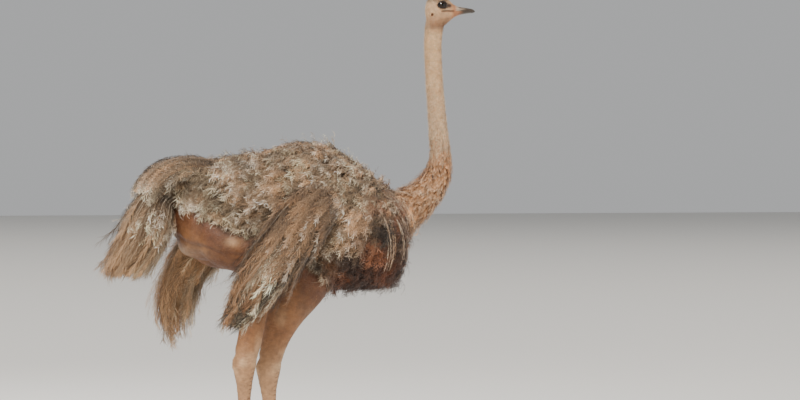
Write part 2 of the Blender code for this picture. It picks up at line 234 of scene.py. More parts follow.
def relax(points, pairs, rounds, weight=0.5):
    """Evens out values that belong to a mesh's vertices, by steps towards each one's neighbours."""
    points = points.copy()
    count = np.maximum(np.bincount(pairs.ravel(), minlength=len(points)), 1)[:, None]
    weight = np.broadcast_to(weight, len(points))[:, None]
    first, second = pairs.T
    for _ in range(rounds):
        total = [
            np.bincount(first, c[second], len(c)) + np.bincount(second, c[first], len(c))
            for c in points.T
        ]
        points += weight * (np.stack(total, axis=1) / count - points)
    return points


def applied(made):
    """Applies an object's modifiers to its mesh."""
    view = bpy.context.evaluated_depsgraph_get()
    mesh = bpy.data.meshes.new_from_object(made.evaluated_get(view))
    old = made.data
    made.modifiers.clear()
    made.data = mesh
    bpy.data.meshes.remove(old)
    return made


def remeshed(made, size):
    modifier = made.modifiers.new("remesh", "REMESH")
    modifier.mode = "VOXEL"
    modifier.voxel_size = size
    modifier.use_smooth_shade = True
    return applied(made)


def boolean(made, other, operation):
    modifier = made.modifiers.new("cut", "BOOLEAN")
    modifier.operation = operation
    modifier.solver = "MANIFOLD"
    modifier.object = other
    applied(made)
    bpy.data.objects.remove(other)
    return made


def joined(name, meshes):
    made = bmesh.new()
    for mesh in meshes:
        made.from_mesh(mesh)
    bmesh.ops.remove_doubles(made, verts=made.verts, dist=1e-5)
    mesh = bpy.data.meshes.new(name)
    made.to_mesh(mesh)
    made.free()
    return link(name, mesh)


def fused(name, parts):
    """One object with the shapes of several, which it takes the place of."""
    whole = joined(name, [part.data for part in parts])
    for part in parts:
        bpy.data.objects.remove(part)
    return whole


def facing_out(made):
    shape = bmesh.new()
    shape.from_mesh(made.data)
    bmesh.ops.recalc_face_normals(shape, faces=shape.faces)
    shape.to_mesh(made.data)
    shape.free()
    return made


def block(low, high):
    corners = np.array([[(low, high)[k >> i & 1][i] for i in range(3)] for k in range(8)])
    quads = np.array([[0, 2, 3, 1], [4, 5, 7, 6], [0, 1, 5, 4], [2, 6, 7, 3], [0, 4, 6, 2], [1, 3, 7, 5]])
    return facing_out(mesh_object("block", corners, [quads], smooth=False))


def ring_quads(rings, sides):
    """The faces between closed rings of points that follow each other."""
    k, j = np.meshgrid(np.arange(rings - 1), np.arange(sides), indexing="ij")
    a, b = k * sides + j, k * sides + (j + 1) % sides
    return np.stack([a, b, b + sides, a + sides], axis=-1).reshape(-1, 4)


def tube(name, points, rings, sides):
    """A closed body of rings of points, with a flat face at each end."""
    first, last = np.arange(sides)[::-1][None], (np.arange(sides) + (rings - 1) * sides)[None]
    return facing_out(mesh_object(name, points, [ring_quads(rings, sides), first, last]))


def smooth_values(knots, count):
    """The knots read at count even steps along a smooth curve through them."""
    table = np.array(knots, float)
    lengths = np.linalg.norm(np.diff(table[:, :3], axis=0), axis=1)
    along = np.concatenate([[0], np.cumsum(lengths)])
    slopes = np.gradient(table, along, axis=0)
    at = np.linspace(0, along[-1], count)
    span = np.clip(np.searchsorted(along, at, side="right") - 1, 0, len(along) - 2)
    width = (along[span + 1] - along[span])[:, None]
    t = ((at - along[span]) / width[:, 0])[:, None]
    return (
        (2 * t**3 - 3 * t**2 + 1) * table[span]
        + (t**3 - 2 * t**2 + t) * width * slopes[span]
        + (3 * t**2 - 2 * t**3) * table[span + 1]
        + (t**3 - t**2) * width * slopes[span + 1]
    )


def squared(angle, power):
    """Cosine and sine drawn out towards a square's, which a power over 2 does."""
    c, s = np.cos(angle), np.sin(angle)
    return np.sign(c) * np.abs(c) ** (2 / power), np.sign(s) * np.abs(s) ** (2 / power)


def loft(name, knots, rings, sides, ends, power=2.0, upright=False):
    """A closed body along a path of knots (x, y, z, half width, half height), with rounded ends."""
    values = smooth_values(knots, rings)
    along = unit(np.gradient(values[:, :3], axis=0))
    if upright:
        along = np.tile([1.0, 0, 0], (rings, 1))
    side = unit(np.array([0, 1.0, 0]) - along * along[:, 1:2])
    up = np.cross(along, side)
    u = np.arange(rings) / (rings - 1)
    drawn_in = np.ones(rings)
    for share, at in ((ends[0], u), (ends[1], 1 - u)):
        if share:
            drawn_in *= np.sqrt(np.clip(1 - np.clip(1 - at / share, 0, 1) ** 2, 1e-6, 1))
    across, rise = squared(2 * np.pi * np.arange(sides) / sides, power)
    half = values[:, 3:5] * drawn_in[:, None]
    points = (
        values[:, None, :3]
        + side[:, None] * (half[:, :1] * across)[..., None]
        + up[:, None] * (half[:, 1:] * rise)[..., None]
    )
    return tube(name, points.reshape(-1, 3) + SHIFT, rings, sides)


# ---------------------------------------------------------------- the bird's forms

# Knots of bodies and bundles are x, y, z and half of their width and height.
NECK = [
    (0.500, 0, 1.115, 0.070, 0.074),
    (0.535, 0, 1.145, 0.062, 0.066),
    (0.577, 0, 1.211, 0.054, 0.058),
    (0.590, 0, 1.268, 0.046, 0.049),
    (0.586, 0, 1.325, 0.036, 0.038),
    (0.581, 0, 1.381, 0.033, 0.035),
    (0.571, 0, 1.494, 0.032, 0.033),
    (0.563, 0, 1.608, 0.031, 0.033),
    (0.561, 0, 1.740, 0.030, 0.033),
    (0.567, 0, 1.790, 0.0295, 0.035),
    (0.574, 0, 1.835, 0.026, 0.033),
]
NECK_JOIN = 1.345
# Forward, top, bottom and half width, from the point between the eyes.
HEAD = [
    (-0.0600, 0.000, -0.034, 0.012),
    (-0.0520, 0.015, -0.056, 0.023),
    (-0.0350, 0.0275, -0.068, 0.0305),
    (-0.0120, 0.0335, -0.075, 0.0345),
    (0.0100, 0.0320, -0.076, 0.0345),
    (0.0300, 0.0225, -0.062, 0.0310),
    (0.0480, 0.0078, -0.0480, 0.0270),
    (0.0660, -0.0012, -0.0380, 0.0245),
    (0.0900, -0.0060, -0.0315, 0.0225),
    (0.1120, -0.0092, -0.0280, 0.0195),
    (0.1280, -0.0118, -0.0265, 0.0150),
    (0.1370, -0.0162, -0.0242, 0.0080),
]
BILL_BASE, BILL_TIP, HEAD_END = 0.046, 0.137, 0.07
MOUTH = -0.0208
# The ear opening: forward and up, and half its length and height.
EAR = (-0.040, -0.036, 0.0055, 0.0075)
ARM = [
    (0.150, 0.130, 1.120, 0.055, 0.060),
    (0.090, 0.225, 1.110, 0.036, 0.052),
    (-0.010, 0.285, 1.050, 0.028, 0.042),
    (-0.090, 0.315, 0.965, 0.020, 0.032),
    (-0.150, 0.335, 0.880, 0.010, 0.018),
]
ARM_LEFT = [
    (0.150, 0.130, 1.120, 0.055, 0.060),
    (0.060, 0.235, 1.110, 0.036, 0.050),
    (-0.095, 0.300, 1.060, 0.028, 0.040),
    (-0.220, 0.335, 0.970, 0.020, 0.032),
    (-0.300, 0.350, 0.880, 0.010, 0.018),
]
STUMP = [
    (-0.280, 0, 1.130, 0.110, 0.090),
    (-0.380, 0, 1.150, 0.085, 0.075),
    (-0.460, 0, 1.140, 0.060, 0.055),
    (-0.520, 0, 1.090, 0.035, 0.035),
]
# Where the feathers of the back and side end over the bare flank, forward and height.
FEATHER_EDGE = [
    (-0.520, 1.120),
    (-0.490, 1.100),
    (-0.420, 1.060),
    (-0.330, 1.010),
    (-0.300, 0.975),
    (-0.215, 0.955),
    (-0.100, 0.930),
    (0.030, 0.850),
    (0.110, 0.775),
    (0.170, 0.690),
]
BACK_DEPTH = 0.027


def feather_edge(x):
    return np.interp(x, *np.array(FEATHER_EDGE).T)


def feathered(x, z, low, high):
    """0 on the bare flank and legs and 1 over the feathers' edge, changing from low to high above it."""
    return step(low, high, z - feather_edge(x)) * step(0.62, 0.72, z)


def neck_share(p):
    """0 on the trunk and 1 once the neck has left the breast."""
    x, _, z = p.T
    return step(0.05, 0.16, (x - 0.36) * 0.75 + (z - 1.00) * 0.55) * step(0.36, 0.44, x)


def coat_depth(p):
    """How far the skin lies inside the solids, under the feathers."""
    x, _, z = p.T
    body = BACK_DEPTH * feathered(x, z, -0.01, 0.06)
    return mix(body, mix(0.010, 0.004, step(1.24, 1.35, z)), neck_share(p))


def body_skin():
    leg = "drumstick", "shank", "toe_middle", "toe_outer"
    flesh = ["trunk", "thigh_right", "thigh_left", "neck_base", "neck_middle"]
    flesh += [f"{part}_{side}" for side in SIDES for part in leg]
    made = remeshed(joined("body", [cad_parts[n].data for n in flesh]), TRUNK_VOXEL)
    pairs = edges(made.data)
    points = relax(positions(made.data), pairs, 10)
    move_to(made.data, points)
    inward = unit(relax(normals(made.data), pairs, 8))
    depth = relax(coat_depth(points)[:, None], pairs, 12)
    move_to(made.data, points - inward * depth)
    arm_right = [(x, -y, z, wide, high) for x, y, z, wide, high in ARM]
    limbs = ("arm_left", ARM_LEFT, 20), ("arm_right", arm_right, 20), ("stump", STUMP, 24)
    limbs = [loft(name, knots, 30, sides, (0.05, 0.2)) for name, knots, sides in limbs]
    whole = remeshed(fused("skin", [made, *limbs]), SKIN_VOXEL)
    points = positions(whole.data)
    soft = mix(0.5, 0.25, step(0.70, 0.55, points[:, 2]))
    move_to(whole.data, relax(points, edges(whole.data), 8, soft))
    return whole


def eye_frame(hand):
    """An eye's centre, its axis, which looks outwards and a little ahead, and ahead and up across that."""
    centre = EYE_MIDDLE + np.array([-0.004, hand * EYE_SIDE, 0.001])
    axis = unit(np.array([0.16, hand * 1.0, 0.06]))
    ahead = unit(np.array([1.0, 0, 0]) - axis * axis[0])
    return centre, axis, ahead, np.cross(axis, ahead) * hand * -1


def lid_opening(around):
    """Angle from the eye's axis to the lid's edge: a wide oval with a corner in front and one behind."""
    wide, high = math.radians(47), math.radians(33)
    c, s = np.cos(around), np.sin(around)
    oval = 1 / np.sqrt((c / wide) ** 2 + (s / high) ** 2)
    return oval + math.radians(4) * np.abs(c) ** 6


def about_eye(points, hand):
    """Places from an eye's centre: their distance, and angles from its axis and past the lid's edge."""
    centre, axis, ahead, up = eye_frame(hand)
    rel = points - centre
    distance = np.maximum(np.linalg.norm(rel, axis=1), 1e-6)
    away = np.arccos(np.clip(dot(rel, axis) / distance, -1, 1))
    return rel, distance, away, away - lid_opening(np.arctan2(rel @ up, rel @ ahead))


def shape_lids(points):
    """Draws the skin over the eyeballs as lids with a rim, leaving the eye open between them."""
    turn = math.radians
    for hand in SIDES.values():
        rel, distance, away, past = about_eye(points, hand)
        rim = 0.0013 * bump(past, turn(5), turn(4.5))
        folds = 0.0006 * (bump(past, turn(15), turn(3)) + bump(past, turn(23), turn(3)))
        lid = EYE_RADIUS + 0.0012 + rim + folds
        lid = mix(EYE_RADIUS - 0.0035, lid, step(-turn(2.5), turn(1.5), past))
        reach = step(turn(78), turn(50), away) * (distance < 0.045)
        outward = np.where(lid > distance, 1.0, step(turn(70), turn(45), away))
        new = distance + (lid - distance) * reach * outward
        points = eye_frame(hand)[0] + rel * (new / distance)[:, None]
    return points


def ear_gap(x, z):
    """How far places on the head's side are from the middle of the ear, where 1 is its edge."""
    return np.hypot((x - EAR[0]) / EAR[2], (z - EAR[1]) / EAR[3])


def mouth_line(x):
    """The height of the mouth, which droops towards its corner."""
    return MOUTH - 0.10 * np.clip(0.012 - x, 0, 0.05)


def sculpt_head(points):
    """Brow, cheek, ear, gape and the throat's folds, in the head's own measure from between the eyes."""
    rel = points - EYE_MIDDLE
    x, y, z = rel.T
    side = step(0.008, 0.022, np.abs(y))
    brow = bump(z, 0.0165 - 0.12 * (x - 0.002) ** 2 / 0.02, 0.006)
    brow = brow * step(-0.030, -0.010, x) * step(0.036, 0.016, x)
    hole, ring = step(1.0, 0.45, ear_gap(x, z)) * side, bump(ear_gap(x, z), 1.25, 0.35) * side
    line, corner = mouth_line(x), -0.008
    gape = bump(z, line, 0.0012) * step(corner, corner + 0.006, x) * side
    lips = bump(z, line + 0.0030, 0.0016) + bump(z, line - 0.0030, 0.0016)
    lips = lips * step(corner, corner + 0.008, x) * side
    cheek = bump(x, -0.018, 0.020) * bump(z, -0.030, 0.014) * side
    lore = bump(x, 0.030, 0.009) * bump(z, -0.008, 0.009) * side
    moved = points.copy()
    for outward in (0.0022 * brow * side, 0.0012 * ring - 0.0075 * hole, 0.0007 * lips - 0.0026 * gape,
                    0.0016 * cheek, -0.0016 * lore):
        moved[:, 1] += np.sign(y) * outward
    wrinkle = noise(rel * [1, 1, 2.2], 0.006, 3) * step(-0.005, -0.04, z)
    return moved + unit(rel * [0.2, 1, 1]) * (0.0005 * wrinkle)[:, None]


def refined(made, chosen):
    """Splits the faces whose corners are all chosen once more."""
    shape = bmesh.new()
    shape.from_mesh(made.data)
    shape.verts.ensure_lookup_table()
    picked = [e for e in shape.edges if chosen[e.verts[0].index] and chosen[e.verts[1].index]]
    bmesh.ops.subdivide_edges(shape, edges=picked, cuts=1, use_grid_fill=True)
    shape.to_mesh(made.data)
    shape.free()
    made.data.shade_smooth()


def head_skin():
    """The head and the long part of the neck, fine enough for lids and folds."""
    knots = [
        (EYE_BUILT[0] + x, 0, EYE_BUILT[2] + (top + low) / 2, half, (top - low) / 2)
        for x, top, low, half in HEAD if x < HEAD_END
    ]
    head = loft("head", knots, 60, 64, (0.06, 0.02), power=2.25, upright=True)
    cut = SHIFT + np.array([EYE_BUILT[0] + BILL_BASE + 0.003, 0, EYE_BUILT[2]])
    boolean(head, block(cut - [0, 0.2, 0.2], cut + 0.2), "DIFFERENCE")
    whole = remeshed(fused("head_skin", [head, loft("neck", NECK, 120, 48, (0, 0.04))]), HEAD_VOXEL)
    points = positions(whole.data)
    pairs = edges(whole.data)
    rel = points - EYE_MIDDLE
    join = bump(rel[:, 0], -0.02, 0.04) * step(-0.03, -0.045, rel[:, 2]) * step(-0.14, -0.10, rel[:, 2])
    points = relax(points, pairs, 60, 0.08 + 0.42 * join)
    points = relax(points, pairs, 90, 0.5 * join)
    inward = unit(relax(normals(whole.data), pairs, 4))
    sunk = mix(0.0095, 0.002, step(1.24, 1.37, points[:, 2]))
    points -= inward * sunk[:, None] * step(1.75, 1.60, points[:, 2])[:, None]
    move_to(whole.data, points)
    near_eye = [about_eye(points, hand)[1] < 0.034 for hand in SIDES.values()]
    refined(whole, near_eye[0] | near_eye[1])
    move_to(whole.data, shape_lids(sculpt_head(positions(whole.data))))
    low = SHIFT + np.array([0, -0.3, 0.9])
    boolean(whole, block(low, np.array([0.9, 0.3, NECK_JOIN - 0.03])), "DIFFERENCE")
    return whole


def leg_middles():
    """Where each leg's middle line runs: heights, then forward places and sides for each leg."""
    found = {}
    for side in SIDES:
        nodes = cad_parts[f"shank_{side}"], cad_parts[f"drumstick_{side}"]
        points = np.concatenate([positions(node.data) for node in nodes])
        heights = np.linspace(0.09, 0.60, 12)
        middles = []
        for height in heights:
            near = points[np.abs(points[:, 2] - height) < 0.035]
            middles.append((near.min(axis=0) + near.max(axis=0))[:2] / 2 if len(near) else middles[-1])
        found[side] = heights, np.array(middles)
    return found


LEGS = leg_middles()


def banded(row, width):
    """The share of the way through each place's band, and how near it is to the band's edge."""
    share = row - np.floor(row)
    return share, np.exp(-((np.minimum(share, 1 - share) / width) ** 2))


def leg_relief(p, n):
    """Scutes down the front of the shanks and along the toes, and the folds of the hocks.

    Returns how far each place stands out, and how deep in a groove it lies from 0 to 1, which the colour turns
    into painted shade.
    """
    x, y, z = p.T
    out, groove = np.zeros(len(p)), np.zeros(len(p))
    wobble = 0.0035 * noise(p, 0.03, 31) + 0.0012 * noise(p, 0.011, 32)
    knobs = 0.0012 * noise(p, 0.012, 33) + 0.0008 * noise(p, 0.006, 34)
    creased = step(-0.3, 0.5, noise(p, 0.02, 35))
    shank = step(0.060, 0.090, z) * step(0.500, 0.455, z)
    toes = step(0.085, 0.060, z) * step(0.35, 0.65, n[:, 2]) * step(0.012, 0.02, z)
    hock = bump(z, 0.500, 0.040)
    for side, hand in SIDES.items():
        heights, middles = LEGS[side]
        mine = (y * hand > 0) & (z < 0.64)
        rel_x = x - np.interp(z, heights, middles[:, 0])
        rel_y = (y - np.interp(z, heights, middles[:, 1])) * hand
        turn = np.arctan2(rel_y, rel_x)
        front = step(1.05, 0.80, np.abs(turn))
        share, edge = banded((z + wobble + 0.006 * turn**2) / 0.0165, 0.10)
        out += mine * shank * front * (0.0006 * (1 - share) - 0.0011 * edge)
        groove += mine * shank * front * edge
        off_toe = rel_y - np.round(rel_y / 0.05) * 0.05
        share, edge = banded((x + 0.4 * wobble + 3.0 * off_toe**2) / 0.0125, 0.12)
        out += mine * toes * (0.0010 * share - 0.0015 * edge)
        groove += mine * toes * edge
        folds = np.sin((z + 0.35 * wobble + 0.004 * np.sin(3 * turn)) * 2 * np.pi / 0.011)
        out += mine * hock * 0.0006 * folds * creased
        groove += mine * hock * 0.30 * step(0.0, -0.9, folds) * creased
        out += mine * step(0.58, 0.46, z) * knobs * (1 - front * shank)
    return out, np.clip(groove, 0, 1)


def skin_folds(p):
    """Soft folds of the bare flank and thighs."""
    flank = step(0.60, 0.70, p[:, 2]) * step(1.16, 1.05, p[:, 2]) * step(0.25, 0.05, p[:, 0])
    fold = np.zeros(len(p))
    for x0, z0, x1, z1, wide in ((-0.500, 1.07, -0.435, 0.90, 0.011), (-0.46, 0.99, -0.28, 0.905, 0.012),
                                 (-0.30, 0.93, -0.12, 0.90, 0.014), (-0.22, 0.86, -0.02, 0.80, 0.013)):
        ahead = np.array([x1 - x0, z1 - z0])
        length = np.linalg.norm(ahead)
        rel = p[:, [0, 2]] - [x0, z0]
        along = rel @ ahead / length**2
        off = (rel @ [-ahead[1], ahead[0]]) / length + 0.010 * noise(p, 0.06, 41)
        inside = step(-0.1, 0.15, along) * step(1.1, 0.85, along)
        fold += inside * (bump(off, wide, wide) - 1.5 * bump(off, 0, wide * 0.7))
    soft = 0.5 * noise(p * [1, 1, 0.6], 0.055, 42) + 0.25 * noise(p * [1, 1, 0.6], 0.025, 43)
    return flank * (0.0028 * fold + 0.0045 * soft)


def whole_skin():
    body = body_skin()
    low = np.array([0.3, -0.3, NECK_JOIN])
    boolean(body, block(low, low + [0.6, 0.6, 0.6]), "DIFFERENCE")
    boolean(body, head_skin(), "UNION")
    refined(body, positions(body.data)[:, 2] < 0.58)
    height, turned = positions(body.data)[:, 2], normals(body.data)
    refined(body, (height < 0.50) & ((turned[:, 0] > 0.35) | ((turned[:, 2] > 0.3) & (height < 0.1))))
    points, turned = positions(body.data), normals(body.data)
    raised = leg_relief(points, turned)[0] * step(0.002, 0.010, points[:, 2]) + skin_folds(points)
    move_to(body.data, points + turned * raised[:, None])
    body.data.shade_smooth()
    return body


skin = whole_skin()
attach(skin, "root")
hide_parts(*[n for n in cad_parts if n.split("_")[0] not in ("bill", "eye", "claw")])


# ---------------------------------------------------------------- colours of skin and coat


def region_shares(p):
    """How much each point belongs to the neck, rump and breast, each from 0 to 1."""
    x, _, z = p.T
    neck = neck_share(p)
    return neck, step(-0.22, -0.42, x), step(0.16, 0.36, x + (1.05 - z) * 0.35) * (1 - neck)


def coat_colours(p, seed):
    """The colours of a feather's root, middle and tip at each point of the body."""
    x, _, z = p.T
    neck, _, breast = region_shares(p)
    breast = breast * mix(0.25, 1.0, step(1.18, 1.04, z))
    # The low breast and belly are rusty and darker: partly their own colour, partly painted shade under the
    # body.
    low = step(1.00, 0.86, z) * step(0.0, 0.2, x)
    collar = neck * step(1.16, 1.26, z) * step(1.36, 1.28, z)
    patch, fine = patchy(p, 0.065, 11), patchy(p, 0.022, seed + 12)
    single = np.random.default_rng(seed + 90).random(len(p))
    frosted = step(-0.02, -0.20, x) * step(1.28, 1.16, z) + step(0.16, 0.05, z - feather_edge(x))
    frosted = np.clip(frosted, 0, 1)
    pale = 0.6 * patch + 0.4 * single + 0.22 * frosted + 0.20 * (bump(x, 0.22, 0.14) * step(1.00, 1.15, z))
    dark = step(0.54, 0.68, patchy(p, 0.045, 14)) * (0.65 + 0.35 * breast)
    green = step(0.48, 0.68, patchy(p, 0.060, 16)) * (1 - dark)
    warm = step(0.35, 0.75, patchy(p, 0.050, 15))
    # The roots are dark, partly the feathers' own colour and partly painted shade deep in the coat.
    root = dye(dye("dark_brown", "olive_grey", 0.7 * patch), dye("dark_brown", "rust", 0.25), low)
    middle = layered(
        "grey_brown",
        ("tan", step(0.30, 0.9, fine)),
        ("olive_grey", frosted * 0.30),
        ("olive_grey", 0.85 * dark),
        ("olive_grey", 0.35 * green),
        (dye("dark_brown", "rust", warm), breast * 0.75),
        (dye("dark_brown", "rust", 0.25 + 0.5 * warm), 0.8 * low),
        ("rust", step(0.90, 0.80, z) * step(-0.05, 0.15, x) * 0.2),
        ("orange_tan", neck * 0.7),
        ("rust", 0.20 * collar),
    )
    tip = layered(
        "tan",
        ("silver", step(0.22, 0.62, pale)),
        ("off_white", step(0.62, 0.90, pale)),
        ("olive_grey", 0.70 * dark),
        ("olive_pale", 0.65 * green),
        (dye("grey_brown", "rust", warm), breast * 0.75),
        (dye("dark_brown", "rust", 0.40 + 0.60 * warm), 0.85 * low),
        (dye("orange_tan", "cream", (0.75 - 0.35 * collar) * fine), neck * 0.8),
    )
    return dye(root, "rust", neck * 0.6), middle, tip


def marked(colour, rel, under_jaw_shade_colour):
    """Adds the head's dark patch before the eye, and a browner jaw that is painted shade under the head. rel is
    from between the eyes.
    """
    x, y, z = rel.T
    lore = bump(x, 0.028, 0.011) * bump(z, 0.000, 0.009) * step(0.012, 0.02, np.abs(y))
    # Painted shade: the lower sides of the head and the jaw take a browner colour.
    jaw = bump(z, -0.072, 0.026) * step(-0.075, -0.035, x) * step(0.06, 0.03, x)
    dark = dye("leg_dark", "lid", 0.7)
    return layered(colour, (under_jaw_shade_colour, 0.8 * jaw), (dark, np.clip(1.2 * lore, 0, 1)))


def skin_colour(p, n):
    """Bare skin on flank, legs, neck and head, and elsewhere the bed of the feathers, painted dark as the shade
    deep in the coat.
    """
    x, _, z = p.T
    rel = p - EYE_MIDDLE
    hx, hy, hz = rel.T
    # Painted light: two pale pools where light falls on the flank's bulges.
    painted_light_pool = bump(x, -0.42, 0.055) * bump(z, 0.920, 0.030) + bump(x, -0.265, 0.035) * bump(z, 0.965, 0.020)
    bare = layered(
        "bare_skin",
        ("flank", np.clip(0.30 + 0.45 * noise(p, 0.05, 2) + 0.30 * noise(p, 0.012, 5), 0, 1)),
        ("orange_tan", 0.32 * step(0.0, 0.7, noise(p, 0.07, 4))),
        ("leg_pale", 0.60 * painted_light_pool),
        # Painted shadow: the bare skin just below the feathers' edge, where they shade it.
        ("leg_dark", 0.80 * step(-0.10, -0.01, z - feather_edge(x)) * (1 - painted_light_pool)),
        # Painted shade: skin that faces downwards, above the legs, is darker.
        ("leg_dark", 0.4 * (step(-0.2, -0.8, n[:, 2]) * step(0.75, 0.85, z))),
    )
    dark = 0.20 + 0.20 * noise(p * [1, 1, 0.4], 0.02, 3) + 0.12 * noise(p, 0.007, 8)
    pale = 0.45 * step(-0.1, 0.7, noise(p * [1, 1, 0.35], 0.035, 6)) + 0.40 * step(0.62, 0.47, z)
    pale += 0.5 * bump(z, 0.50, 0.045) * step(-0.2, 0.6, noise(p, 0.03, 7))
    leg = layered("leg", ("leg_dark", np.clip(dark, 0, 1)), ("leg_pale", np.clip(pale, 0, 1)))
    neck = step(1.22, 1.36, z) * step(0.45, 0.52, x)
    throat = step(0.010, 0.035, hx + 0.3 * (hz + 0.06)) * step(-0.03, -0.06, hz) * step(-0.30, -0.10, hz)
    head_colour = dye("head_skin", "throat", 0.6 * patchy(p, 0.007, 9))
    colour = layered(
        bare,
        (leg, step(0.78, 0.60, z)),
        # Painted shade: the skin under the feathers is dark, as the coat's depths lie in shade.
        (dye("dark_brown", "grey_brown", 0.25), feathered(x, z, 0.0, 0.05)),
        ("neck_skin", neck),
        (head_colour, 0.75 * (step(-0.10, -0.06, hz) * neck)),
        ("throat", 0.7 * throat * neck),
    )
    for hand in SIDES.values():
        from_eye, distance, _, past = about_eye(p, hand)
        across = np.abs(from_eye @ eye_frame(hand)[2]) / distance
        colour = dye(colour, "lid", step(1.0, 0.3, past / np.radians(9 + 18 * across)) * (distance < 0.03))
    side, line = step(0.012, 0.02, np.abs(hy)), mouth_line(hx)
    lips = bump(hz, line, 0.0045) * step(-0.012, 0.0, hx) * side
    return layered(
        marked(colour, rel, "throat"),
        # Painted shade in the ear opening.
        ("leg_dark", 0.9 * (step(1.1, 0.5, ear_gap(hx, hz)) * side)),
        (dye("rust", "leg_dark", 0.5), 0.8 * lips),
        ("horn_warm", 0.8 * step(0.030, 0.048, hx) * step(0.02, 0.0, hz)),
        # Painted shade in the grooves between scutes and in the hock's folds.
        ("leg_dark", 0.75 * leg_relief(p, n)[1]),
        # Painted shade in the groove at the corner of the gape.
        ("horn_dark", bump(hz, line, 0.0022) * step(-0.010, -0.002, hx) * side),
    )


def tint(made, colours):
    layer = made.data.attributes.new("tint", "FLOAT_COLOR", "POINT")
    rgba = np.ones((len(colours), 4), np.float32)
    rgba[:, :3] = colours
    layer.data.foreach_set("color", rgba.ravel())


def material(name, rough, mottle, bumps, sheen=0.0, coat=0.0, cells=(), specular=0.5):
    """A material coloured by the mesh's tint, with its own mottling, roughness and relief.

    rough is the least and greatest roughness. mottle is the scale and strength of the change in colour.
    bumps are (scale, strength, depth) of noise, and cells are (scale, strength, depth, mask) of scales,
    where mask names the mesh's own numbers for how scaly each place is.
    """
    made = bpy.data.materials.new(name)
    made.use_nodes = True
    nodes, links = made.node_tree.nodes, made.node_tree.links
    shader = nodes["Principled BSDF"]
    shader.inputs["Sheen Weight"].default_value = sheen
    shader.inputs["Coat Weight"].default_value = coat
    shader.inputs["Specular IOR Level"].default_value = specular
    place = nodes.new("ShaderNodeTexCoord").outputs["Object"]

    def fed(node, output, inputs):
        """A node's output, once its inputs have their numbers or the outputs of other nodes."""
        for key, value in inputs.items():
            if isinstance(value, bpy.types.NodeSocket):
                links.new(value, node.inputs[key])
            else:
                node.inputs[key].default_value = value
        return node.outputs[output]

    def grain(scale):
        return fed(nodes.new("ShaderNodeTexNoise"), "Fac", {"Scale": scale, "Detail": 6, "Vector": place})

    def ranged(value, low, high):
        limits = {"From Min": 0.3, "From Max": 0.7, "To Min": low, "To Max": high, "Value": value}
        return fed(nodes.new("ShaderNodeMapRange"), "Result", limits)

    def attribute(name, output):
        node = nodes.new("ShaderNodeAttribute")
        node.attribute_name = name
        return node.outputs[output]

    shade = nodes.new("ShaderNodeVectorMath")
    shade.operation = "SCALE"
    spread = ranged(grain(mottle[0]), 1 - mottle[1], 1 + mottle[1])
    shaded = fed(shade, "Vector", {0: attribute("tint", "Color"), "Scale": spread})
    links.new(shaded, shader.inputs["Base Color"])
    links.new(ranged(grain(mottle[0] * 2.3), *rough), shader.inputs["Roughness"])
    normal = {}
    for scale, strength, depth in bumps:
        bumped = nodes.new("ShaderNodeBump")
        look = {"Strength": strength, "Distance": depth, "Height": grain(scale)}
        normal = {"Normal": fed(bumped, "Normal", look | normal)}
    for scale, strength, depth, mask in cells:
        scales, height, bumped = (nodes.new("ShaderNode" + kind) for kind in ("TexVoronoi", "Math", "Bump"))
        scales.feature = "SMOOTH_F1"
        height.operation = "MULTIPLY"
        bumped.invert = True
        cell = fed(scales, "Distance", {"Scale": scale, "Smoothness": 0.25, "Vector": place})
        cell = fed(height, "Value", {0: cell, 1: attribute(mask, "Fac")})
        look = {"Strength": strength, "Distance": depth, "Height": cell}
        normal = {"Normal": fed(bumped, "Normal", look | normal)}
    links.new(normal["Normal"], shader.inputs["Normal"])
    return made


def weights(made, name, values):
    layer = made.data.attributes.new(name, "FLOAT", "POINT")
    layer.data.foreach_set("value", np.asarray(values, np.float32))


places, facings = positions(skin.data), normals(skin.data)
tint(skin, skin_colour(places, facings))
weights(skin, "scaly", step(0.50, 0.40, places[:, 2]))
weights(skin, "stubbly", step(0.45, 0.60, places[:, 2]) * step(1.25, 1.15, places[:, 2]))
skin.data.materials.clear()
skin.data.materials.append(
    material(
        "bare skin", (0.48, 0.74), (60, 0.20), ((700, 0.40, 0.0007), (190, 0.45, 0.002), (34, 0.35, 0.006)),
        cells=((130, 0.7, 0.0022, "scaly"), (150, 0.55, 0.0024, "stubbly")),
    )
)


# ---------------------------------------------------------------- bill, eyes and claws


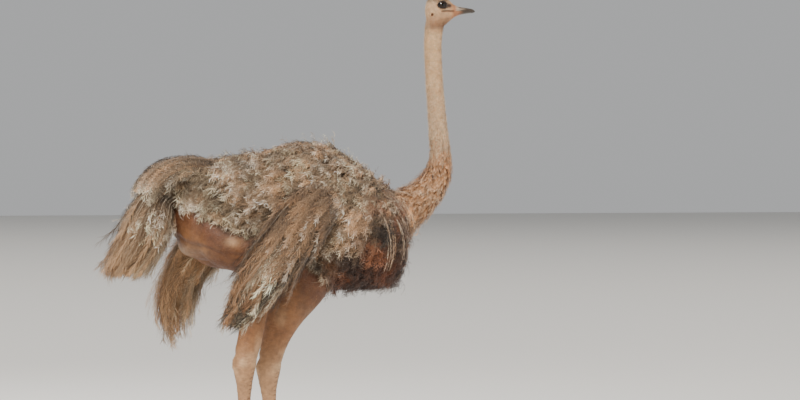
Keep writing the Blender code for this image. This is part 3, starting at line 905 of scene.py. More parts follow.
def bill_half(name, is_upper):
    """One half of the bill as a closed shell from its base inside the head to the rounded tip."""
    rings, sides, floor_sides = 90, 48, 12
    start, nostril = BILL_BASE - 0.008, 0.074
    values = smooth_values([(x, 0, 0, top, low, half) for x, top, low, half in HEAD], 400)
    x = start + (BILL_TIP - BILL_BASE + 0.008) * np.sin(np.linspace(0, np.pi / 2, rings))
    top, low, half = (np.interp(x, values[:, 0], values[:, i]) for i in (3, 4, 5))
    inset = 0.0010 * step(BILL_BASE + 0.012, BILL_BASE, x) + 0.0035 * step(BILL_BASE, BILL_BASE - 0.005, x)
    u = (x - x[0]) / (x[-1] - x[0])
    round_tip = np.sqrt(np.clip(1 - np.clip((u - 0.90) / 0.10, 0, 1) ** 2.2, 0.0004, 1))
    half = (half - inset) * round_tip
    edge = MOUTH + 0.0006 * step(0.6, 1.0, u) + (0.00022 if is_upper else -0.00022)
    peak = (top - inset if is_upper else low + inset) - 0.0016 * step(0.75, 1.0, u) * is_upper
    peak = edge + (peak - edge) * np.maximum(round_tip, 0.12)
    across, rise = squared(np.linspace(0, np.pi, sides), 2.3)
    rise = np.abs(rise)
    y = half[:, None] * across
    z = edge[:, None] + (peak - edge)[:, None] * rise
    if is_upper:
        ridge = bump(y, 0, 0.0055) * step(0.1, 0.5, rise)
        groove = bump(np.abs(y), 0.0100 - 0.004 * u[:, None], 0.0016) * step(0.3, 0.6, rise)
        z += step(0.05, 0.25, u)[:, None] * (0.0009 * ridge - 0.0007 * groove)
        back = x[:, None] - nostril
        slit = bump(x[:, None], nostril, 0.0085) * bump(rise, 0.80 - 6 * back, 0.13)
        y -= np.sign(y) * 0.0030 * slit
        z -= 0.0016 * slit
    else:
        y -= np.sign(y) * 0.0006 * bump(rise, 0.62, 0.10)
    share_y = np.linspace(-1, 1, floor_sides + 2)[None, 1:-1]
    arch = 0.0016 * step(1.0, 0.75, np.abs(share_y)) * round_tip[:, None] * (1.15 if is_upper else 1.0)
    floor = vectors(x[:, None], half[:, None] * share_y, edge[:, None] + arch)
    points = np.concatenate([vectors(x[:, None], y, z), floor], axis=1).reshape(-1, 3)
    made = tube(name, points + EYE_MIDDLE, rings, sides + floor_sides)
    made.data.set_sharp_from_angle(angle=math.radians(50))
    px, py, pz = points.T
    share = np.clip((px - BILL_BASE) / (BILL_TIP - BILL_BASE), 0, 1)
    if is_upper:
        level = (pz - np.interp(px, x, edge)) / np.maximum(np.interp(px, x, peak - edge), 1e-4)
        # Painted shade: the nostril's slit is painted near black.
        nostril_shade = bump(px, nostril, 0.009) * bump(level, 0.80 - 6 * (px - nostril), 0.16)
        colour = layered(
            "horn_warm",
            ("horn_pale", step(0.0, 0.2, share)),
            # Painted highlight: a pale stripe along the top of the bill.
            ("cream", 0.5 * bump(py, 0, 0.007) * step(0.1, 0.3, share)),
            ("horn_dark", 0.95 * step(0.20, 0.60, share)),
            ("horn_dark", 0.9 * step(0.55, 0.15, level) * step(0.05, 0.4, share)),
            ("lid", np.clip(1.3 * (nostril_shade * step(0.004, 0.008, abs(py))), 0, 1)),
        )
    else:
        colour = dye("horn_warm", "horn_dark", step(0.10, 0.50, share))
    tint(made, colour * (1 + 0.08 * noise(points * [0.4, 1, 1], 0.003, 5))[:, None])
    made.data.materials.append(HORN)
    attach(made, "root")
    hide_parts(name)


def eyeball(name, hand):
    """A wet dark eye with a low cornea. Its colour changes by the angle from its axis."""
    centre, axis, ahead, up = eye_frame(hand)
    turn = math.radians
    rings, sides = 47, 64
    away = np.linspace(0, np.pi, rings + 2)[1:-1]
    around = 2 * np.pi * np.arange(sides) / sides
    radius = EYE_RADIUS - 0.0002 + 0.0011 * step(turn(30), turn(8), away)
    spoke = ahead * np.cos(around)[:, None] + up * np.sin(around)[:, None]
    level, reach = ((part * radius)[:, None, None] for part in (np.cos(away), np.sin(away)))
    ring = (axis * level + spoke * reach).reshape(-1, 3)
    poles = np.array([axis * (EYE_RADIUS + 0.0009), -axis * EYE_RADIUS])
    j = np.arange(sides)
    top = vectors(len(ring), (j + 1) % sides, j)
    start = (rings - 1) * sides
    low = vectors(len(ring) + 1, start + j, start + (j + 1) % sides)
    made = facing_out(
        mesh_object(name, np.concatenate([ring, poles]) + centre, [ring_quads(rings, sides), top, low])
    )
    from_axis = np.concatenate([np.repeat(away, sides), [0, np.pi]])
    spokes = 0.5 + 0.5 * np.sin(np.concatenate([np.tile(around, rings), [0, 0]]) * 34)
    iris = dye([0.016, 0.008, 0.004], [0.034, 0.017, 0.008], spokes * 0.6)
    colour = dye([0.002, 0.0015, 0.001], iris, step(turn(15), turn(18), from_axis))
    tint(made, dye(colour, [0.008, 0.006, 0.005], step(turn(31), turn(35), from_axis)))
    made.data.materials.append(WET)
    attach(made, "root")
    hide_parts(name)


def claw(name):
    """A claw as the solids have it, with its facets smoothed out."""
    made = joined(name, [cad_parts[name].data])
    made.data.materials.clear()
    modifier = made.modifiers.new("smooth", "SUBSURF")
    modifier.levels = modifier.render_levels = 2
    applied(made)
    made.data.shade_smooth()
    points = positions(made.data)
    reach = (points[:, 0] - points[:, 0].min()) / np.ptp(points[:, 0])
    colour = dye("horn_warm", "horn_dark", step(0.1, 0.8, reach))
    tint(made, colour * (1 + 0.15 * noise(points * [0.3, 1, 1], 0.003, 8))[:, None])
    made.data.materials.append(HORN)
    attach(made, "root")
    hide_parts(name)


HORN = material("horn", (0.28, 0.50), (160, 0.14), ((900, 0.25, 0.0004), (200, 0.20, 0.0010)), coat=0.15)
WET = material("wet eye", (0.03, 0.06), (900, 0.25), ((400, 0.02, 0.0001),), specular=0.3)
bill_half("bill_upper", True)
bill_half("bill_lower", False)
for side_name, side_hand in SIDES.items():
    eyeball(f"eye_{side_name}", side_hand)
    claw(f"claw_middle_{side_name}")
    claw(f"claw_outer_{side_name}")


# ---------------------------------------------------------------- feathers

COAT = material("feather", (0.66, 0.90), (120, 0.16), ((1500, 0.25, 0.0004),), sheen=0.2)
skin_points, skin_normals = positions(skin.data), normals(skin.data)
skin.data.calc_loop_triangles()
triangles = numbers(skin.data.loop_triangles, "vertices", 3, np.int32)
corner_points = skin_points[triangles]
spans = corner_points[:, 1:] - corner_points[:, :1]
areas = np.linalg.norm(np.cross(spans[:, 0], spans[:, 1]), axis=1) / 2
tree = BVHTree.FromPolygons(skin_points.tolist(), triangles.tolist())


def on_skin(points):
    """The nearest place on the skin to each point, with the smooth normal there."""
    places, faces = np.empty((len(points), 3)), np.empty(len(points), int)
    for k, point in enumerate(points):
        place, _, face, _ = tree.find_nearest(Vector(point))
        places[k], faces[k] = place, face
    return places, unit(skin_normals[triangles[faces]].mean(axis=1))


def scattered(density, spacing, seed):
    """Evenly strewn places on the skin. density is each place's chance, from 0 to 1."""
    tries = 5
    rng = np.random.default_rng(seed)
    chance = areas * density(corner_points.mean(axis=1))
    count = int(chance.sum() / spacing**2 * tries)
    picked = rng.choice(len(areas), count, p=chance / chance.sum())
    a, b = rng.random((2, count, 1))
    flip = a + b > 1
    a, b = np.where(flip, 1 - a, a), np.where(flip, 1 - b, b)
    places, facing = (
        corners[:, 0] + a * (corners[:, 1] - corners[:, 0]) + b * (corners[:, 2] - corners[:, 0])
        for corners in (corner_points[picked], skin_normals[triangles[picked]])
    )
    cell = np.floor(places / spacing).astype(np.int64)
    kept = rng.permutation(np.unique(cell @ CELL_KEY, return_index=True)[1])
    return places[kept], unit(facing)[kept]


def lie_of_coat(p):
    """The way feathers lie at each point: back along the body, down its sides, breast and neck."""
    _, y, z = p.T
    neck, rump, breast = region_shares(p)
    low = step(1.25, 0.95, z)
    back = vectors(-1 + 0.35 * low, 0.15 * y / 0.2, -0.15 - 0.75 * low)
    back = mix(back, vectors(-0.75, 1.2 * y, -0.75), rump)
    flow = mix(back, vectors(-0.35, 0.3 * y, -1), breast * 0.8)
    bend = step(1.26, 1.10, z)
    return unit(mix(flow, vectors(-0.75 * bend, 0.2 * y, -1 + 0.35 * bend), neck))


def traced(roots, facing, length, steps, flow, rise, hug, sway, seed, curl=0.0):
    """Middle lines of feathers that leave their roots along the coat and rise from the skin to their tips.

    hug is 1 where a feather follows the body and 0 where it hangs free. Returns points and normals.
    """
    sag = 0.5
    rng = np.random.default_rng(seed)
    count = len(roots)
    at, normal = roots.copy(), facing.copy()
    direction = flow(roots) + sway * rng.normal(size=(count, 3))
    direction = unit(direction - normal * dot(direction, normal)[:, None])
    rise, curl = (np.broadcast_to(v, count)[:, None] for v in (rise, curl))
    lines, turned = [at], [normal]
    stride = (length / steps)[:, None]
    for k in range(1, steps + 1):
        near, near_normal = on_skin(at + direction * stride)
        at = mix(at + direction * stride, near, hug)
        normal = unit(mix(normal, near_normal, 0.6 * hug))
        direction = mix(direction, unit(flow(at)), 0.25) - UP * (sag * (1 - hug) * k / steps**1.3)
        level = direction - normal * dot(direction, normal)[:, None]
        direction = unit(mix(direction, level, hug))
        height = rise * (k / steps) ** 0.65 + curl * np.maximum(k / steps - 0.6, 0) ** 1.6
        lines.append(at + normal * height)
        turned.append(normal)
    return np.stack(lines, axis=1), np.stack(turned, axis=1)


def gathered(lines, spacing, strength, seed):
    """Draws feathers' ends together into locks, each lock round one of the feathers."""
    rng = np.random.default_rng(seed)
    cells = np.floor(lines[:, 0] / spacing + rng.random(3)).astype(np.int64) @ CELL_KEY
    _, leader, group = np.unique(cells, return_index=True, return_inverse=True)
    share = (np.arange(lines.shape[1]) / (lines.shape[1] - 1)) ** 1.6
    pull = lines[leader[group.reshape(-1)]][:, -1] - lines[:, -1]
    strength = strength * rng.uniform(0.4, 1.0, len(lines))
    return lines + pull[:, None] * (strength[:, None] * share)[..., None]


def unwrapped(roots, centre, axis, reach):
    """Places in the unit square for roots round an axis: the angle about it and the way along it."""
    axis = unit(np.asarray(axis, float))
    side = unit(np.cross(axis, [0.3, 0.2, 1.0]))
    rel = roots - centre
    turn = np.arctan2(rel @ np.cross(axis, side), rel @ side) / (2 * np.pi) + 0.5
    along = np.clip((rel @ axis) / reach + 0.5, 0, 1)
    return np.stack([0.005 + 0.99 * turn, 0.005 + 0.99 * along], axis=1)


def bake_map(made, places):
    """Gives a coat piece its OFBake map. places has each vertex's place in the unit square."""
    layer = made.data.uv_layers.new(name="OFBake")
    corners = numbers(made.data.loops, "vertex_index", 1, np.int32)[:, 0]
    layer.data.foreach_set("uv", places[corners].astype(np.float32).ravel())


def coat_pieces(name, uv, owner, points, tones, patches, faces):
    """Makes a coat's pieces, with its feathers or tufts dealt out between them when they are many.

    owner is each point's feather, and uv each feather's place on the map. patches are from -0.5 to 0.5.
    """
    count = math.ceil(sum(f.shape[0] * (f.shape[1] - 2) for f in faces) / PIECE_TRIANGLES)
    places = uv[owner] + patches * PATCH
    for piece in range(count):
        mine = owner % count == piece
        number = np.cumsum(mine) - 1
        label = f"{name}_{piece + 1}" if count > 1 else name
        made = mesh_object(label, points[mine], [number[f[mine[f[:, 0]]]] for f in faces])
        tint(made, np.clip(tones[mine], 0, 1))
        bake_map(made, places[mine])
        made.data.materials.append(COAT)
        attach(made, "root")


def within_width(points):
    """Draws in what stands out past the solids' sides."""
    margin, drawn = 0.010, 0.7
    past = np.abs(points[:, 1]) - (CAD_BOX[1].y - margin)
    points[:, 1] -= np.sign(points[:, 1]) * np.clip(past, 0, None) * drawn
    return points


def feathers(name, lines, turned, half, colours, uv, seed, barbs, ribbon, lax, slant=(62, 24), shaft=None,
             shape=(0.55, 0.9), slot="plumage", hook=0.3, frost=0.25, loose=7):
    """Feathers as solid mesh: a shaft and loose barbs on both sides, each barb a tapering ribbon.

    lines and turned come from traced. half is a feather's half width. colours are its root, middle and tip.
    lax is how far the barbs droop, slant their angles at root and tip, loose how much those vary, shape
    the vane's outline, hook how much barbs bend, and frost how much lighter or darker their ends are.
    """
    rng = np.random.default_rng(seed)
    count, stations = lines.shape[:2]
    tangent = unit(np.gradient(lines, axis=1))
    normal = unit(turned - tangent * dot(turned, tangent)[..., None])
    side = np.cross(tangent, normal)

    def colour_at(share):
        share = np.clip(share, 0, 1)[..., None]
        spread = (slice(None),) + (None,) * (share.ndim - 2)
        first, second, third = (c[spread] for c in colours)
        lower = first + (second - first) * step(0.0, 0.45, share)
        return lower + (third - lower) * step(0.45, 0.95, share)

    # Barbs: places along the shaft, on both sides.
    strewn = rng.uniform(-0.4, 0.4, (count, barbs, 2)) * 0.9 / barbs
    place = np.clip(np.linspace(0.05, 0.99, barbs)[None, :, None] + strewn, 0.02, 1.0)
    where = place * (stations - 1)
    low = np.minimum(where.astype(int), stations - 2)
    part = (where - low)[..., None]
    rows = np.arange(count)[:, None, None]

    def read(values):
        return values[rows, low] * (1 - part) + values[rows, low + 1] * part

    start, t, n, b = read(lines), unit(read(tangent)), unit(read(normal)), unit(read(side))
    hand = np.array([-1.0, 1.0])[None, None, :, None]
    profile = shape[0] + (1 - shape[0]) * np.sin(np.pi * np.clip(place, 0, 1) ** shape[1])
    angle = np.radians(slant[0] + (slant[1] - slant[0]) * place**0.8 + rng.normal(0, loose, place.shape))
    reach = half[:, None, None] * profile * rng.uniform(0.55, 1.2, place.shape)
    reach = reach / np.sin(np.maximum(angle, 0.45))
    droop = rng.normal(lax, 0.35 * abs(lax) + 0.05, place.shape)
    lift = rng.normal(0.0, 0.22, place.shape)
    shade = 1 + rng.normal(0, 0.11, place.shape)
    hooked = rng.normal(0.15, 1.0, place.shape) * hook
    points, colour, patch = [], [], []
    before, along_barb = 0.0, np.zeros(start.shape)
    for q, widths in ((0.0, (-0.45, 0.45)), (0.52, (-0.5, 0.5)), (1.0, (0.0,))):
        bend = angle * (1 - 0.45 * q) + hooked * (0.5 * (q + before)) ** 1.5 * 1.6
        heading = t * np.cos(bend)[..., None] + hand * b * np.sin(bend)[..., None]
        along_barb = along_barb + heading * (reach * (q - before))[..., None]
        before = q
        centre = start + along_barb + n * (reach * (lift * q - droop * q * q))[..., None]
        across = unit(np.cross(n, heading) + n * (0.5 * lift + 0.3 * droop)[..., None])
        tone = colour_at((1 - frost) * place + frost * q * (0.35 + 0.75 * place))
        # Barbs are a little darker at the shaft and lighter at their ends: painted shade and painted light.
        tone = tone * (shade * (0.92 + 0.16 * q))[..., None]
        for width in widths:
            points.append(centre + across * (width * ribbon))
            colour.append(tone)
            patch.append(np.stack(np.broadcast_arrays(hand[..., 0] * q * 0.45, place - 0.5), axis=-1))
    per_barb = len(points)
    points, colour, patch = (np.stack(v, axis=3) for v in (points, colour, patch))
    base = np.arange(count * barbs * 2)[:, None] * per_barb

    # The shaft: a ribbon that narrows to the tip, a little above the barbs.
    share = np.arange(stations) / (stations - 1)
    shaft_half = (0.5 * ribbon * 0.9 * (1 - 0.75 * share))[None, :, None]
    raised = lines + normal * 0.0006
    shaft_points = np.stack([raised - side * shaft_half, raised + side * shaft_half], axis=2)
    tone = colour_at(np.broadcast_to(share, (count, stations)))
    tone = mix(tone, (colours[1] if shaft is None else shaft)[:, None], 0.5)
    shaft_patch = np.stack([0 * share, share - 0.5], axis=-1)[None, :, None]
    k = (np.arange(count)[:, None] * stations + np.arange(stations - 1)) * 2 + len(base) * per_barb
    shaft_quads = np.stack([k, k + 2, k + 3, k + 1], axis=-1).reshape(-1, 4)

    def both(barb, of_shaft):
        of_shaft = np.broadcast_to(of_shaft, (count, stations, 2, barb.shape[-1]))
        return np.concatenate([v.reshape(-1, v.shape[-1]) for v in (barb, of_shaft)])

    owner = np.concatenate([np.repeat(np.arange(count), n) for n in (barbs * 2 * per_barb, stations * 2)])
    faces = [np.concatenate([base + [0, 2, 3, 1], shaft_quads]), base + [2, 4, 3]]
    points, tones = within_width(both(points, shaft_points)), both(colour, tone[:, :, None])
    coat_pieces(name, uv, owner, points, tones, both(patch, shaft_patch), faces)


def varied(colours, seed, amount=0.16, blotch_and_painted_light=0.0):
    """Feathers differ in lightness one by one, and by a number from -1 to 1 for each, which holds blotches of
    tone and the painted light and shade that callers add.
    """
    rng = np.random.default_rng(seed)
    factor = 1 + rng.normal(0, amount, len(colours[0])) + 0.28 * np.asarray(blotch_and_painted_light)
    factor = np.clip(factor, 0.3, 2.4)[:, None]
    return [c * factor for c in colours]


# Each layer's spacing and its feathers' length, and for the body how far their tips stand off.
BODY_LAYERS = (0.0200, 0.056, 0.012), (0.0180, 0.062, 0.025)
NECK_LAYERS = (0.0115, 0.030), (0.0110, 0.036)
LASHES_EACH = 46
# How barbs make the frayed, rounded feathers of the body, and long plumes.
FRAYED = {"lax": 0.45, "slant": (66, 44), "shape": (0.45, 0.75), "hook": 1.2, "frost": 0.4, "loose": 16}
PLUME = {"barbs": 44, "ribbon": 0.0014, "lax": 0.20, "slant": (40, 15), "shape": (0.55, 1.1),
         "slot": "plume_tan", "hook": 0.30, "frost": 0.25, "loose": 10}


def body_density(p):
    x, y, z = p.T
    start = mix(0.025, 0.060, step(-0.10, -0.25, x))
    covered = step(start, start + 0.025, z - feather_edge(x)) * step(0.66, 0.72, z)
    limb = step(0.235, 0.26, np.abs(y)) * step(1.05, 1.00, z)
    return covered * (1 - neck_share(p)) * (1 - limb)


def body_feathers():
    for layer, (spacing, length, rise) in enumerate(BODY_LAYERS):
        roots, facing = scattered(body_density, spacing, 100 + layer)
        rng = np.random.default_rng(200 + layer)
        count = len(roots)
        x, _, z = roots.T
        _, rump, breast = region_shares(roots)
        long = length * rng.uniform(0.75, 1.25, count) * (1 + 0.30 * rump - 0.10 * breast)
        long *= mix(0.6, 1.0, step(0.03, 0.16, z - feather_edge(x)))
        high = rise * rng.uniform(0.6, 1.3, count)
        curl = rng.normal(-0.06, 0.10, count)
        lines, turned = traced(roots, facing, long, 7, lie_of_coat, high, 0.92, 0.30, 300 + layer, curl)
        lines = gathered(lines, 0.048, 0.5, 400 + layer)
        breast = breast * mix(0.25, 1.0, step(1.18, 1.04, z))
        blotch_and_painted_light = 1.7 * noise(roots, 0.060, 71) + 2.6 * noise(roots, 0.030, 72)
        # The low breast is darkened further as painted shade under the body.
        blotch_and_painted_light = blotch_and_painted_light + 2.4 - 3.3 * breast - 1.8 * (step(1.05, 0.88, z) * step(0.0, 0.2, x))
        colours = varied(coat_colours(roots, layer), 500 + layer, 0.20, blotch_and_painted_light)
        uv = unwrapped(roots, [0, 0, 1.06], (1, 0, 0), 1.3)
        half = 0.023 * rng.uniform(0.8, 1.2, count)
        feathers(f"body_feathers_{'ab'[layer]}", lines, turned, half, colours, uv, 600 + layer, barbs=15,
                 ribbon=0.0014, **FRAYED)


def bundle(name, knots, start, reach, seed, colours_of, count, half, fill, steps=12, splay=0.08, curl=0.03,
           grow=0.0, lock=0.0, shaft=None, ends=(1.1, 1.1), arc=(0.0, 2.0), painted_lightness=0.0, **look):
    """Long plumes that hang together along a path, strewn round the outside of the bundle.

    start is the share of the path over which they grow, reach their length in metres, and fill how far
    out of its middle they lie. ends is the share of the path at which their tips stop at the bundle's
    back and front, and arc the part of its round they grow on, in half turns from its front.
    """
    rng = np.random.default_rng(seed)
    values = smooth_values(knots, 60)
    path, thick, wide = values[:, :3] + SHIFT, values[:, 3:4], values[:, 4:5]
    along = unit(np.gradient(path, axis=0))
    front = unit(vectors(-along[:, 2], 0 * along[:, 0], along[:, 0]))
    length = np.linalg.norm(np.diff(path, axis=0), axis=1).sum()
    s0 = rng.uniform(*start, count)
    run = rng.uniform(*reach, count) / length
    turn = rng.uniform(arc[0] * np.pi, arc[1] * np.pi, count)
    ring = rng.uniform(*fill, count)
    stop = mix(*ends, 0.5 + 0.5 * np.cos(turn) * ring) + rng.normal(0, 0.025, count)
    share = np.linspace(0, 1, steps + 1)
    s = np.minimum(s0, stop - run)[:, None] + run[:, None] * share
    drift = np.clip(rng.normal(0, splay, (count, 2)), -1.8 * splay, 1.8 * splay)
    across = np.cos(turn)[:, None] * ring[:, None] + drift[:, :1] * share**1.5
    outward = np.sin(turn)[:, None] * ring[:, None] + drift[:, 1:] * share**1.5
    at = np.clip(s, 0, 1) * (len(path) - 1)
    low = np.minimum(at.astype(int), len(path) - 2)
    part = (at - low)[..., None]

    def read(values):
        return values[low] * (1 - part) + values[low + 1] * part

    beyond = np.clip(s - 1, 0, None)[..., None] * length
    shrink = 1 - 0.35 * np.clip(beyond / 0.1, 0, 1)
    open_up = 1 + grow * share[None, :, None]
    ahead, out = read(front), read(np.cross(along, front))
    lines = read(path) + unit(read(along)) * beyond
    lines = lines + ahead * read(wide) * shrink * open_up * across[..., None]
    lines = lines + out * read(thick) * shrink * outward[..., None]
    turned = unit(ahead * (across / 1.6)[..., None] + out * outward[..., None] + 1e-6)
    lines = lines + turned * (curl * rng.normal(0.4, 0.6, (count, 1)) * share**3)[..., None]
    lines[..., 2] -= 0.010 * share**2
    if lock:
        lines = gathered(lines, lock, 0.55, seed + 3)
    # The added lightness is painted light, for a side that lies in shade.
    colours = varied(colours_of(lines[:, 0], across[:, 0], rng), seed + 1, 0.18, painted_lightness)
    uv = unwrapped(lines[:, 0], path.mean(axis=0), path[-1] - path[0], length * 1.2)
    feathers(name, lines, turned, half * rng.uniform(0.75, 1.2, count), colours, uv, seed + 2,
             shaft=None if shaft is None else linear(shaft) + np.zeros((count, 3)), **{**PLUME, **look})


def plume_colours(roots, across, rng, light=0.0):
    """Tan plumes behind, with silver and dark ones along the bundle's front edge. Made paler, they are the
    tail's own colour and painted light on the far wing.
    """
    chance, tan, olive, warm, darker = rng.random((5, len(roots)))
    kind = np.clip(chance * 0.7 + 0.35 * across, 0, 1)
    dark = step(0.64, 0.68, darker + 0.15 * across) * (1 - 0.8 * light)
    middle = layered(
        "grey_brown",
        ("tan", tan),
        ("off_white", step(0.45, 0.65, kind)),
        ("olive_grey", 0.75 * step(0.1, 0.7, across) * step(0.3, 0.6, olive)),
        ("leg_pale", 0.6 * light),
        ("dark_brown", dark),
    )
    silver = step(0.45, 0.70, kind)
    tip = layered("flank", ("tan", warm), ("off_white", silver), ("leg_pale", light), ("olive_grey", dark))
    return dye("dark_brown", "olive_grey", 0.5 * kind), middle, tip


# Paler plumes: the tail's own colour, and painted light on the far wing.
def pale_tail_and_lit_wing_colours(roots, across, rng):
    return plume_colours(roots, across, rng, 0.6)


def covert_colours(roots, across, rng):
    kind, chance = rng.random((2, len(roots)))
    dark = step(0.15, 0.9, across) * step(0.3, 0.7, chance)
    middle = layered("grey_brown", ("tan", 0.8 * kind), ("olive_grey", 0.8 * dark))
    silver = step(0.75, 0.95, kind + 0.25 * across)
    tip = layered("flank", ("tan", 0.4 + 0.6 * kind), ("silver", silver), ("olive_grey", 0.7 * dark))
    return dye("dark_brown", "grey_brown", 0.4 * kind), middle, tip


def rump_colours(roots, across, rng):
    """Dark at the root, as painted shadow under the hood, so that the hood stands clear of what it covers."""
    root, middle, tip = coat_colours(roots, 3)
    lighter = (1.50 + 0.45 * noise(roots, 0.035, 73))[:, None]
    return linear("dark_brown") + 0 * root, middle * lighter, tip * lighter


WING_RIGHT = [
    (0.150, -0.190, 1.130, 0.040, 0.060),
    (0.075, -0.255, 1.110, 0.048, 0.082),
    (-0.015, -0.303, 1.045, 0.052, 0.100),
    (-0.100, -0.330, 0.948, 0.050, 0.102),
    (-0.180, -0.346, 0.848, 0.046, 0.096),
    (-0.240, -0.354, 0.775, 0.038, 0.076),
    (-0.275, -0.360, 0.725, 0.030, 0.052),
]
WING_LEFT = [
    (0.150, 0.190, 1.130, 0.040, 0.060),
    (0.040, 0.268, 1.115, 0.048, 0.082),
    (-0.110, 0.318, 1.055, 0.052, 0.095),
    (-0.240, 0.342, 0.955, 0.050, 0.094),
    (-0.338, 0.352, 0.830, 0.046, 0.088),
    (-0.376, 0.358, 0.710, 0.038, 0.080),
    (-0.374, 0.362, 0.640, 0.030, 0.056),
]
TAIL = [
    (-0.360, 0, 1.160, 0.090, 0.050),
    (-0.440, 0, 1.155, 0.095, 0.056),
    (-0.500, 0, 1.125, 0.108, 0.070),
    (-0.532, 0, 1.060, 0.130, 0.090),
    (-0.570, 0, 0.970, 0.128, 0.088),
    (-0.615, 0, 0.900, 0.108, 0.070),
]
# The feathers of the rump overhang the tail's root like a hood.
HOOD = [
    (-0.280, 0, 1.175, 0.115, 0.080),
    (-0.380, 0, 1.198, 0.128, 0.086),
    (-0.450, 0, 1.190, 0.134, 0.088),
    (-0.518, 0, 1.148, 0.134, 0.083),
    (-0.564, 0, 1.102, 0.130, 0.074),
]


def wings():
    # The far (left) wing is painted lighter than the near one: painted light on the side in the body's shade.
    for side, knots, plumes, seed, painted_lightness in (
        ("right", WING_RIGHT, plume_colours, 1000, 0.0), ("left", WING_LEFT, pale_tail_and_lit_wing_colours, 2000, 1.3)
    ):
        bundle(f"wing_{side}_plumes", knots, (0.30, 0.74), (0.22, 0.34), seed, plumes, 250, 0.027, (0.55, 1.0),
               ends=(1.12, 1.05), shaft="cream", slant=(44, 20), hook=0.45, painted_lightness=painted_lightness)
        bundle(f"wing_{side}_coverts", knots, (0.12, 0.58), (0.08, 0.15), seed + 10, covert_colours, 460, 0.022,
               (0.75, 1.08), barbs=20, steps=7, curl=0.012, hook=0.7, lock=0.035, slant=(54, 32),
               shape=(0.5, 0.9), loose=14, painted_lightness=painted_lightness)


def tail():
    frayed = {**FRAYED, "barbs": 17, "ribbon": 0.0015, "steps": 7, "lock": 0.045}
    bundle("tail_plumes", TAIL, (0.22, 0.62), (0.20, 0.32), 3000, pale_tail_and_lit_wing_colours, 380, 0.025, (0.4, 1.0),
           grow=0.06, ends=(1.24, 0.98), shaft="cream")
    bundle("tail_coverts", TAIL, (0.33, 0.56), (0.06, 0.11), 3010, rump_colours, 240, 0.024, (0.75, 1.0),
           **frayed)
    bundle("rump_hood", HOOD, (0.0, 0.66), (0.07, 0.13), 3020, rump_colours, 360, 0.025, (0.90, 1.04),
           ends=(1.02, 0.95), arc=(0.52, 1.48), curl=0.004, **frayed)


def strand_lie(p):
    _, y, z = p.T
    low = step(1.15, 0.90, z)
    return unit(vectors(0.60 - 0.75 * low, 0.9 * y * (1 - low), -1))


def breast_strands():
    """Long pale strands that fall from the shoulders over the front of the breast."""

    def density(p):
        x, _, z = p.T
        upper = step(0.26, 0.32, x) * step(1.02, 1.08, z) * step(1.30, 1.22, z)
        return upper * (1 - step(0.3, 0.8, neck_share(p)))

    roots, facing = scattered(density, 0.037, 4600)
    rng = np.random.default_rng(4601)
    count = len(roots)
    long = rng.uniform(0.14, 0.26, count)
    lines, turned = traced(roots, facing, long, 12, strand_lie, 0.026, 0.97, 0.12, 4602)
    pale = dye("tan", "cream", 0.8 * rng.random(count))
    colours = varied([dye(pale, "grey_brown", 0.4), pale, dye(pale, "rust", 0.35)], 4603)
    uv = unwrapped(roots, [0.4, 0, 1.1], (0, 0, 1), 0.6)
    feathers("breast_strands", lines, turned, rng.uniform(0.004, 0.011, count), colours, uv, 4604, barbs=26,
             ribbon=0.0009, lax=0.3, slant=(34, 20), hook=0.5)


def neck_feathers():
    """Short feathers that thin out to down where the neck leaves the body."""

    def density(p):
        return neck_share(p) * step(1.40, 1.28, p[:, 2])

    for layer, (spacing, length) in enumerate(NECK_LAYERS):
        roots, facing = scattered(density, spacing, 4000 + layer)
        rng = np.random.default_rng(4100 + layer)
        count = len(roots)
        long = length * rng.uniform(0.7, 1.25, count) * mix(1.0, 0.35, step(1.15, 1.38, roots[:, 2]))
        high = 0.42 * long * rng.uniform(0.5, 1.3, count)
        lines, turned = traced(roots, facing, long, 5, lie_of_coat, high, 0.9, 0.25, 4200 + layer)
        colours = varied(coat_colours(roots, 5 + layer), 4400 + layer, 0.26)
        uv = unwrapped(roots, [0.55, 0, 1.2], (0.2, 0, 1), 0.6)
        lines = gathered(lines, 0.02, 0.4, 4300 + layer)
        feathers(f"neck_feathers_{'ab'[layer]}", lines, turned, 0.30 * long, colours, uv, 4500 + layer, barbs=8,
                 ribbon=0.0011, lax=0.2, slot="down")


